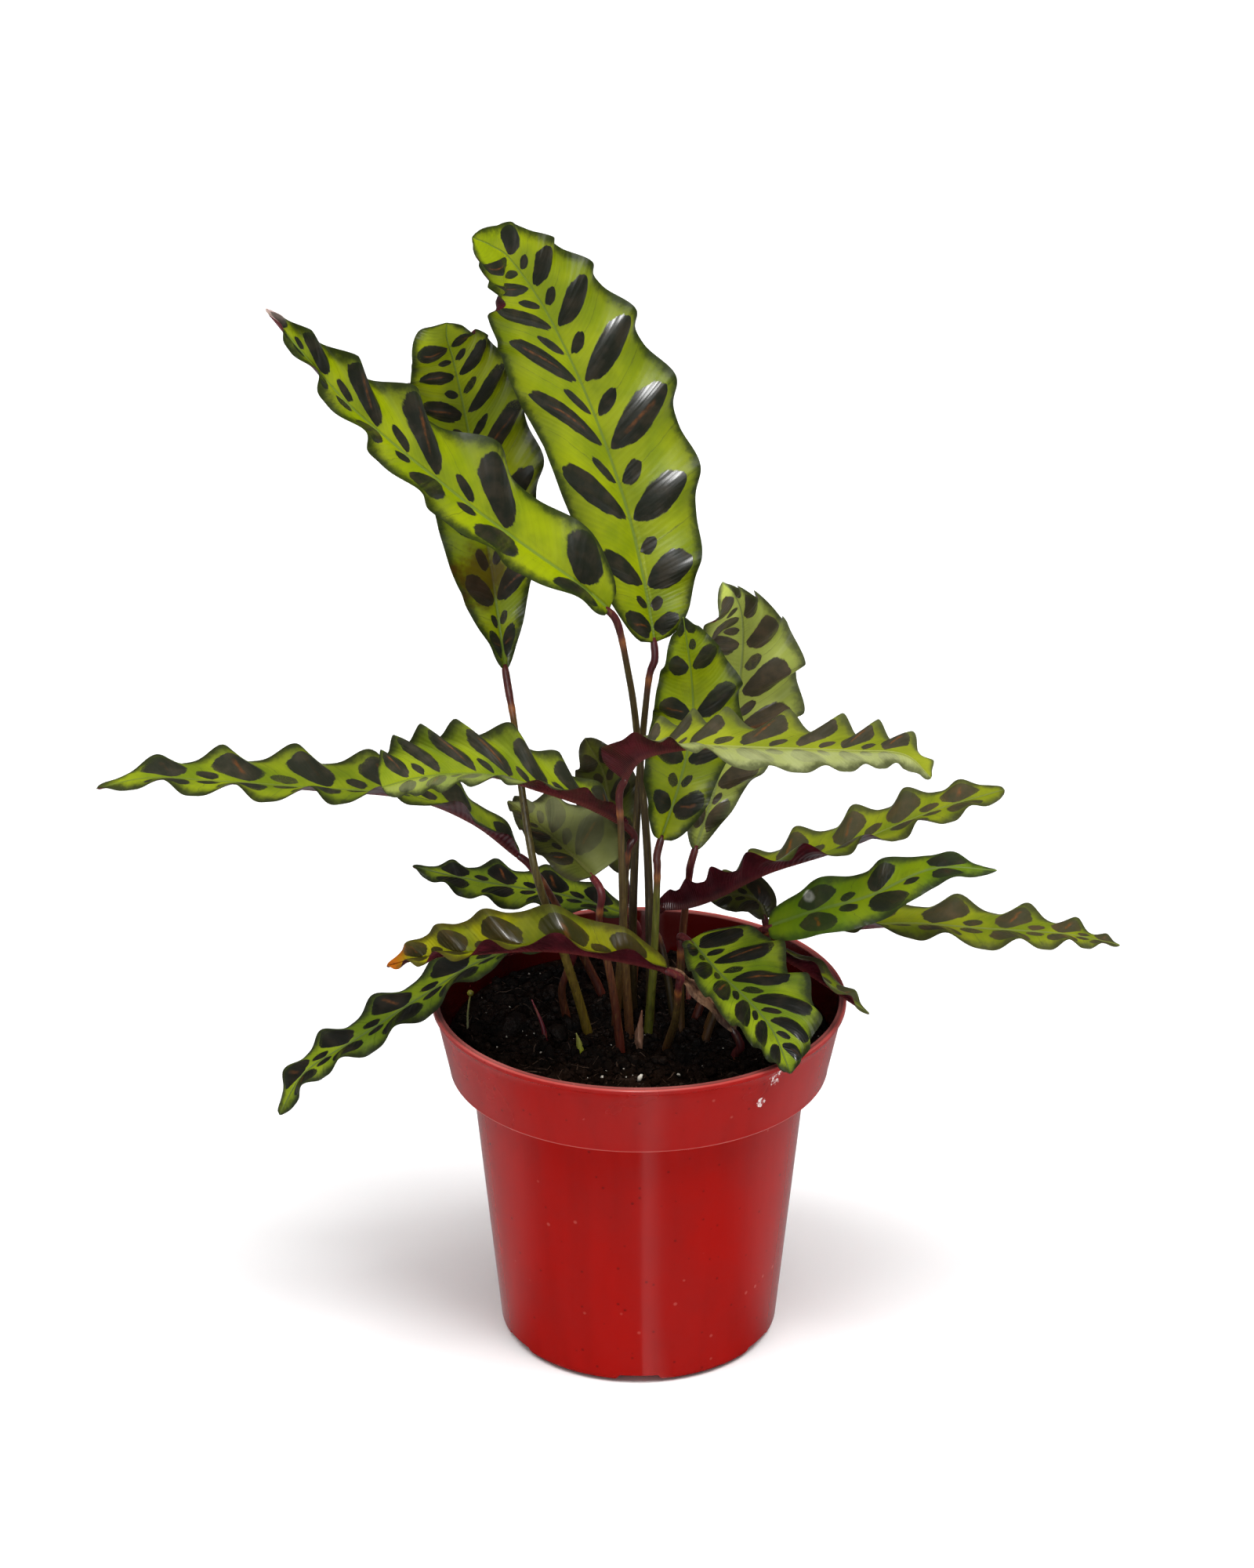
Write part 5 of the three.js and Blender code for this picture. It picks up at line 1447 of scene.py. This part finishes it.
class PLANT_OT_soil(bpy.types.Operator):
    """Fills the pot with peat and strews crumbs, fibres and pale bits on it"""

    bl_idname = "plant.soil"
    bl_label = "Soil"

    def execute(self, context):
        settings = context.scene.plant_soil
        peat = soil_material(settings)
        settle(build_mesh("soil_body", *soil_body(), [peat]), "soil", "soil")
        random = np.random.default_rng(LOOSE_SEED)
        crumb = settings.crumb_size / MM
        loose = [
            ("soil_crumbs", lumps(random, settings.crumbs, crumb, CRUMB_INSET, CRUMB_LIFT), peat),
            (
                "soil_fibres", fibres(random, settings.fibres),
                plain_bits_material("Peat fibre", srgb(96, 74, 58), srgb(40, 28, 22), 0.8),
            ),
            (
                "soil_pale_bits",
                lumps(random, settings.pale_bits, PALE_BIT_SIZE, PALE_BIT_INSET, PALE_BIT_LIFT),
                plain_bits_material("Pale grit", srgb(226, 222, 210), srgb(170, 160, 145), 0.6),
            ),
        ]
        for name, (points, faces), material in loose:
            piece = build_mesh(name, points, faces, [material])
            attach(piece, "root")
        return {"FINISHED"}


# Leaves.

def spear(leaf, u):
    """Share of the widest half-width at u: half a sine wave, bent so that it peaks at the belly,
    to a power that goes from the base's bluntness to the tip's. A small power is blunt."""
    bent = u ** (math.log(0.5) / math.log(leaf.belly))
    base, tip = leaf.blunt
    return np.maximum(np.sin(np.pi * bent), 0) ** (base + (tip - base) * u)


def wave_phase(leaf, t):
    """Number of the main vein at t: 1 at the first, 2 at the second, and in straight lines between
    them. Before the first and after the last it goes on at the pace that it had beside them."""
    veins = np.array(leaf.veins)
    before = veins[0] - 2 * (veins[1] - veins[0])
    after = veins[-1] + 4 * (veins[-1] - veins[-2])
    places = np.concatenate([[before], veins, [after]])
    numbers = np.concatenate([[-1], np.arange(1, len(veins) + 1), [len(veins) + 4]])
    return np.interp(t, places, numbers)


def blade_surface(leaf, t, v):
    """Middle surface of a blade. t runs along the feet of the veins and v from the left margin over
    the midrib at 0 to the right one. A vein runs outward and forward, so its place along the midrib
    is t plus a share that grows outward. From there the point goes out by the half-width, tilted by
    the fold, and up by the margin's wave. Each half also bulges a little between midrib and margin.
    Gives points, and the half-width at each."""
    route = Route(leaf.midrib)
    t, v = np.broadcast_arrays(t, v)
    out = np.abs(v)
    left = v < 0
    widest = np.where(left, *leaf.halves)
    forward = np.where(left, *leaf.slant) * widest / route.length * out * np.sin(np.pi * t)
    u = np.minimum(t + forward, 1)
    quarters = np.linspace(0, 1, 5)
    widest = widest * np.where(left, *(np.interp(u, quarters, trim) for trim in leaf.trim))
    along = route.tangent(u)
    face = blend3_rows(leaf.face, u)
    face = unit(face - dot(face, along) * along)
    outward = np.cross(along, face) * np.where(left, -1, 1)[..., None]
    angle = np.radians(np.where(left, *(blend3(fold, u) for fold in leaf.fold)))
    phase = wave_phase(leaf, t)
    crest = (1 + np.cos(2 * np.pi * phase)) / 2
    fade = np.where(left, *leaf.calm) * np.sqrt(np.maximum(np.sin(np.pi * t), 0))
    swing = (2 * crest ** CREST_SHARPNESS - 1) * out ** MARGIN_RISE * fade
    end_width = between(END_HALF_WIDTHS, u)
    half_width = end_width + (widest * (1 + leaf.scallop * swing) - end_width) * spear(leaf, u)
    flutter = np.sin(4 * np.pi * phase + 5 * leaf.belly) * out ** 4 * fade
    bulge = BULGE * half_width * np.sin(np.pi * out)
    wave = leaf.lift * (swing + FLUTTER * flutter) + bulge
    sine, cosine = np.sin(angle), np.cos(angle)
    sideways = out * half_width * cosine - wave * sine
    upward = out * half_width * sine + wave * cosine
    points = route.at(u) + outward * sideways[..., None] + face * upward[..., None]
    return points, half_width


def blade_mesh(leaf, settings):
    """A closed blade: the middle surface moved up and down along its normal by half the thickness,
    which thins to nothing at the border, where both sides share their vertices. A keel under the
    midrib thins towards the tip."""
    rows = (len(leaf.veins) + 1) * settings.rows_per_wave
    half = np.sin(np.linspace(0, np.pi / 2, settings.columns + 1))
    t = np.linspace(0, 1, rows + 1)[:, None]
    v = np.concatenate([-half[:0:-1], half])[None, :]
    middle, half_width = blade_surface(leaf, t, v)
    normal = unit(np.cross(np.gradient(middle, axis=1), np.gradient(middle, axis=0)))
    t, v = np.broadcast_arrays(t, v)
    from_rib = np.abs(v) * half_width
    thin = settings.thickness / MM / 2 * (1 - np.abs(v) ** 10)
    keel = between(KEEL, t) * np.exp(-(from_rib / KEEL_WIDTH) ** 2)
    border = (np.abs(v) == 1) | (t == 0) | (t == 1)
    upper = middle + normal * np.where(border, 0, thin)[..., None]
    lower = middle - normal * (thin + keel)[..., None]
    count = upper[..., 0].size
    above = np.arange(count).reshape(v.shape)
    below = above.copy()
    below[~border] = count + np.arange(np.count_nonzero(~border))
    points = np.vstack([upper.reshape(-1, 3), lower[~border]])

    def quads(numbers):
        a, b = numbers[:-1, :-1], numbers[:-1, 1:]
        c, d = numbers[1:, 1:], numbers[1:, :-1]
        return np.stack([a, b, c, d], axis=-1).reshape(-1, 4)

    top, under = quads(above), quads(below)[:, ::-1]
    layout = {
        "leaf_map": np.stack([wave_phase(leaf, t), v], axis=-1),
        "from_rib": from_rib,
        "from_edge": half_width - from_rib,
        "along": t,
        "silver": np.where(v < 0, *leaf.silver) * smooth(np.abs(v), 0.02, 0.2),
        "reach": np.full(v.shape, leaf.reach),
        "veins": np.full(v.shape, float(len(leaf.veins))),
    }
    values = {}
    for name, array in layout.items():
        flat = array.reshape(count, -1)
        values[name] = np.concatenate([flat, flat[~border.ravel()]])
    sides = np.repeat([0, 1], [len(top), len(under)])
    return points, [top, under], values, sides


class PLANT_OT_blades(bpy.types.Operator):
    """Makes every leaf's waved blade, patterned above and maroon below"""

    bl_idname = "plant.blades"
    bl_label = "Leaf blades"

    def execute(self, context):
        settings = context.scene.plant_leaf
        under = underside_material(settings)
        uppers = {look: blade_material(look, settings) for look in BLADE_LOOKS}
        dry = dry_material()
        for number, leaf in enumerate(LEAVES):
            points, faces, values, sides = blade_mesh(leaf, settings)
            is_dry = leaf.look == "dry"
            materials = [dry, dry] if is_dry else [uppers[leaf.look], under]
            blade = build_mesh(f"{leaf.name}_leaf", points, faces, materials, sides)
            set_uv(blade, "leaf_map", values.pop("leaf_map"))
            values["seed"] = np.full(len(points), float(number))
            for name, numbers in values.items():
                set_numbers(blade, name, numbers)
            blade.data.set_sharp_from_angle(angle=math.radians(BLADE_SHARP_ANGLE))
            settle(blade, "dry" if is_dry else "leaf", f"{leaf.name}_blade")
        return {"FINISHED"}


# Stalks and shoots.

def stalk_route(leaf):
    """Straight down in the soil below. Above, the last stretch leans halfway from the stalk's own
    direction to the blade's, so that the joint bends smoothly into the midrib."""
    (x, y), *above = leaf.stalk
    along = Route(leaf.midrib).tangent(np.zeros(1))[0]
    base = np.array(leaf.midrib[0], float)
    below = np.array(above[-1] if above else (x, y, SOIL_LEVEL), float)
    entry = base - STALK_STRAIGHT_END * unit(along + unit(base - below))
    end = base + STALK_IN_BLADE * along - GAP * np.array([0, 0, 1])
    return Route([(x, y, SOIL_LEVEL - STALK_DEPTH), (x, y, SOIL_LEVEL), *above, entry, end])


def stalk_radii(route, settings):
    """A stalk's radius by share of its length: an even taper, a swollen joint at the top that starts
    with a small ring, and a narrower end in the blade."""
    joint = settings.joint_length / MM

    def radii(share):
        from_top = (1 - share) * route.length
        swollen = settings.joint_swell * smooth(from_top, joint, joint * 0.6)
        ring = RING_SWELL * np.exp(-((from_top - joint) / RING_WIDTH) ** 2)
        closing = 1 - TOP_CLOSING * smooth(from_top, TOP_CLOSING_LENGTH, 0)
        return between(STALK_RADII, share) * (1 + swollen + ring) * closing

    return radii


class PLANT_OT_stalks(bpy.types.Operator):
    """Makes every leaf's stalk, with the thick red joint below the blade"""

    bl_idname = "plant.stalks"
    bl_label = "Stalks"

    def execute(self, context):
        settings = context.scene.plant_stalk
        material = stem_material("Stalk", 0.42)
        joint = settings.joint_length / MM
        for leaf in LEAVES:
            route = stalk_route(leaf)
            radii = stalk_radii(route, settings)
            points, faces, share = tube(route, radii, settings.steps, settings.sides)
            stalk = build_mesh(f"{leaf.name}_petiole", points, faces, [material])
            low, middle, high = (srgb(*tint) for tint in STALK_TINTS[leaf.tint])
            from_top = (1 - share) * route.length
            colours = blend3_rows([low, middle, middle], share)
            ring = RING_TINT_STRENGTH * np.exp(-((from_top - joint) / RING_TINT_WIDTH) ** 2)[:, None]
            upper = smooth(from_top, joint * 1.6, joint * 0.8)[:, None]
            colours = colours * (1 - upper) + np.array(high) * upper
            colours = colours * (1 - ring) + np.array(srgb(*RING_TINT)) * ring
            set_colours(stalk, "tint", colours)
            is_dry = leaf.look == "dry"
            settle(stalk, "dry" if is_dry else "stalk", f"{leaf.name}_stalk")
        return {"FINISHED"}


def ball(centre, radius, rows=10, sides=16):
    """A round ball: rings of a half circle turned round +Z."""
    angle = np.radians(np.linspace(-90, 90, rows + 1))
    profile = np.stack([radius * np.cos(angle), radius * np.sin(angle)], axis=-1)
    points, faces = turned(profile, sides)
    return points + centre, faces


def crumple(share, angle):
    """Factor for the dried sheath's radius: lengthwise folds that twist and deepen upward."""
    folds = sum(depth * np.sin(number * angle + twist * share) for depth, number, twist in SHEATH_FOLDS)
    return 1 + folds * np.minimum(1, 2 * share)


class PLANT_OT_shoots(bpy.types.Operator):
    """Makes the young shoots, the dried sheath and the weed seedling"""

    bl_idname = "plant.shoots"
    bl_label = "Shoots"

    def execute(self, context):
        material = stem_material("Shoot", 0.4)
        for name, slot, ((x, y), *above), radii, tints in SHOOTS:
            route = Route([(x, y, SOIL_LEVEL - SHOOT_DEPTH), *above])
            is_sheath = name == "dried_sheath"
            points, faces, share = tube(
                route, lambda s: blend3(radii, s), SHOOT_STEPS, SHOOT_SIDES,
                flatten=SHEATH_FLATNESS if is_sheath else 1, roughen=crumple if is_sheath else None,
            )
            if name == "seedling":
                head, head_faces = ball(route.at(np.ones(1))[0], SEEDLING_HEAD_RADIUS)
                points, faces = joined([(points, faces), (head, head_faces)])
                share = np.concatenate([share, np.ones(len(head))])
            piece = build_mesh(f"{name}_piece", points, faces, [material])
            set_colours(piece, "tint", blend3_rows([srgb(*tint) for tint in tints], share))
            settle(piece, slot, name)
        return {"FINISHED"}


# Stage.

def add_light(name, kind, energy, place_from_front):
    """A light of one kind that looks at the stage's middle from an azimuth, elevation and distance."""
    data = bpy.data.lights.new(name, kind)
    data.energy = energy
    light = bpy.data.objects.new(name, data)
    bpy.context.scene.collection.objects.link(light)
    azimuth, elevation, distance = place_from_front
    side, up = math.radians(azimuth), math.radians(elevation)
    flat = distance * math.cos(up)
    away = Vector((flat * math.sin(side), -flat * math.cos(side), distance * math.sin(up)))
    light.location = Vector(STAGE_MIDDLE) + away
    light.rotation_euler = (-away).to_track_quat("-Z", "Y").to_euler()
    return light


def floor_material():
    """Plain white matt floor. Reflected rays see a glow on it instead, a painted reflection: dark in
    front of the plant and pale at the sides, with one bright wedge to the right of the front, as a
    studio's dark and pale cards would give."""
    material, shader, at = new_material("Pale floor", Roughness=0.9, Specular_IOR_Level=0.1)
    dress(shader, Base_Color=at.noise(3).mix((0.96, 0.96, 0.96), (0.97, 0.97, 0.97)))
    x, y, _ = at.parts()
    turn = x.maths("ARCTAN2", y * -1)
    # Painted reflection: the floor glows for reflected rays only, pale at the sides and bright in a wedge
    # right of the front.
    sides = turn.maths("ABSOLUTE").rise(*PALE_SIDES, *SIDE_GLOW)
    wedge = turn.rise(*WEDGE_LEFT) * turn.rise(*WEDGE_RIGHT, 1, 0) * WEDGE_GLOW
    values = {"Color": (1, 1, 1), "Strength": sides.maths("MAXIMUM", wedge)}
    glow = give(at.tree, "ShaderNodeEmission", values)
    mirrored = give(at.tree, "ShaderNodeLightPath", output="Is Glossy Ray")
    matt = shader.outputs["BSDF"]
    surface = matt.links[0].to_socket
    feed(surface, give(at.tree, "ShaderNodeMixShader", {0: mirrored, 1: Value(matt), 2: glow}))
    return material


def build_world(strength):
    """Even white surroundings, dim in reflections, and plain white to the camera."""
    world = bpy.data.worlds.new("Studio")
    bpy.context.scene.world = world
    world.use_nodes = True
    tree = world.node_tree
    tree.nodes.clear()
    path = place(tree, "ShaderNodeLightPath").outputs
    lit = Value(path["Is Glossy Ray"]) * (GLOSSY_SKY - strength) + strength
    shown = lit.maths("MAXIMUM", Value(path["Is Camera Ray"]))
    background = give(tree, "ShaderNodeBackground", {"Color": (1, 1, 1), "Strength": shown})
    place(tree, "ShaderNodeOutputWorld", {"Surface": background})


class PLANT_OT_stage(bpy.types.Operator):
    """Makes the pale floor, the soft lights and the camera"""

    bl_idname = "plant.stage"
    bl_label = "Stage"

    def execute(self, context):
        settings = context.scene.plant_stage
        radius = settings.floor_radius / MM
        profile = [(radius * (k / FLOOR_RINGS) ** 2, FLOOR_Z) for k in range(FLOOR_RINGS + 1)]
        profile += [(radius, FLOOR_BOTTOM), (0, FLOOR_BOTTOM)]
        points, faces = turned(np.array(profile[::-1]), FLOOR_SIDES)
        floor = build_mesh("floor", points, faces, [floor_material()])
        build_world(settings.sky_strength)
        for side, azimuth, share in (("left", -SUN_AZIMUTH, 1), ("right", SUN_AZIMUTH, RIGHT_SUN)):
            place_from_front = (azimuth, SUN_ELEVATION, SUN_DISTANCE)
            sun = add_light(f"Soft sun {side}", "SUN", settings.sun_strength * share, place_from_front)
            sun.data.angle = settings.sun_softness
            sun.visible_glossy = False
        panel = add_light("Panel", "AREA", settings.panel_power, PANEL_PLACE)
        panel.data.shape = "RECTANGLE"
        panel.data.size, panel.data.size_y = PANEL_SIZE
        panel.visible_diffuse = False
        panel.visible_camera = False
        camera_data = bpy.data.cameras.new("Camera")
        camera_data.sensor_fit = "VERTICAL"
        camera_data.sensor_height = SENSOR_HEIGHT
        camera_data.lens = settings.focal_length
        camera = bpy.data.objects.new("Camera", camera_data)
        context.scene.collection.objects.link(camera)
        back = settings.distance * math.cos(settings.elevation)
        up = settings.distance * math.sin(settings.elevation)
        camera.location = Vector(CAMERA_TARGET) + Vector((0, -back, up))
        camera.rotation_euler = (math.pi / 2 - settings.elevation, 0, 0)
        context.scene.camera = camera
        context.scene.view_settings.view_transform = "Standard"
        return {"FINISHED"}


class PLANT_PT_panel(bpy.types.Panel):
    """Lists the settings and what makes each piece"""

    bl_idname = "PLANT_PT_panel"
    bl_label = "Potted plant"
    bl_space_type = "VIEW_3D"
    bl_region_type = "UI"
    bl_category = "Plant"

    def draw(self, context):
        layout = self.layout
        for operator, group in STEPS:
            layout.operator(operator.bl_idname)
            if group is None:
                continue
            settings = getattr(context.scene, group)
            for name in settings.__annotations__:
                layout.prop(settings, name)


# Each operator in the order that it is called, with the settings that the panel lists below it.
STEPS = [
    (PLANT_OT_stage, "plant_stage"),
    (PLANT_OT_stalks, "plant_stalk"),
    (PLANT_OT_blades, "plant_leaf"),
    (PLANT_OT_shoots, None),
    (PLANT_OT_pot, "plant_pot"),
    (PLANT_OT_soil, "plant_soil"),
]

SETTINGS = {
    "plant_pot": PotSettings,
    "plant_soil": SoilSettings,
    "plant_leaf": LeafSettings,
    "plant_stalk": StalkSettings,
    "plant_stage": StageSettings,
}


def register():
    for name, group in SETTINGS.items():
        bpy.utils.register_class(group)
        setattr(bpy.types.Scene, name, PointerProperty(type=group))
    for operator, _ in STEPS:
        bpy.utils.register_class(operator)
    bpy.utils.register_class(PLANT_PT_panel)


def unregister():
    bpy.utils.unregister_class(PLANT_PT_panel)
    for operator, _ in STEPS:
        bpy.utils.unregister_class(operator)
    for name, group in SETTINGS.items():
        delattr(bpy.types.Scene, name)
        bpy.utils.unregister_class(group)


def main():
    register()
    for operator, _ in STEPS:
        category, name = operator.bl_idname.split(".")
        getattr(getattr(bpy.ops, category), name)()


if __name__ == "__main__":
    main()
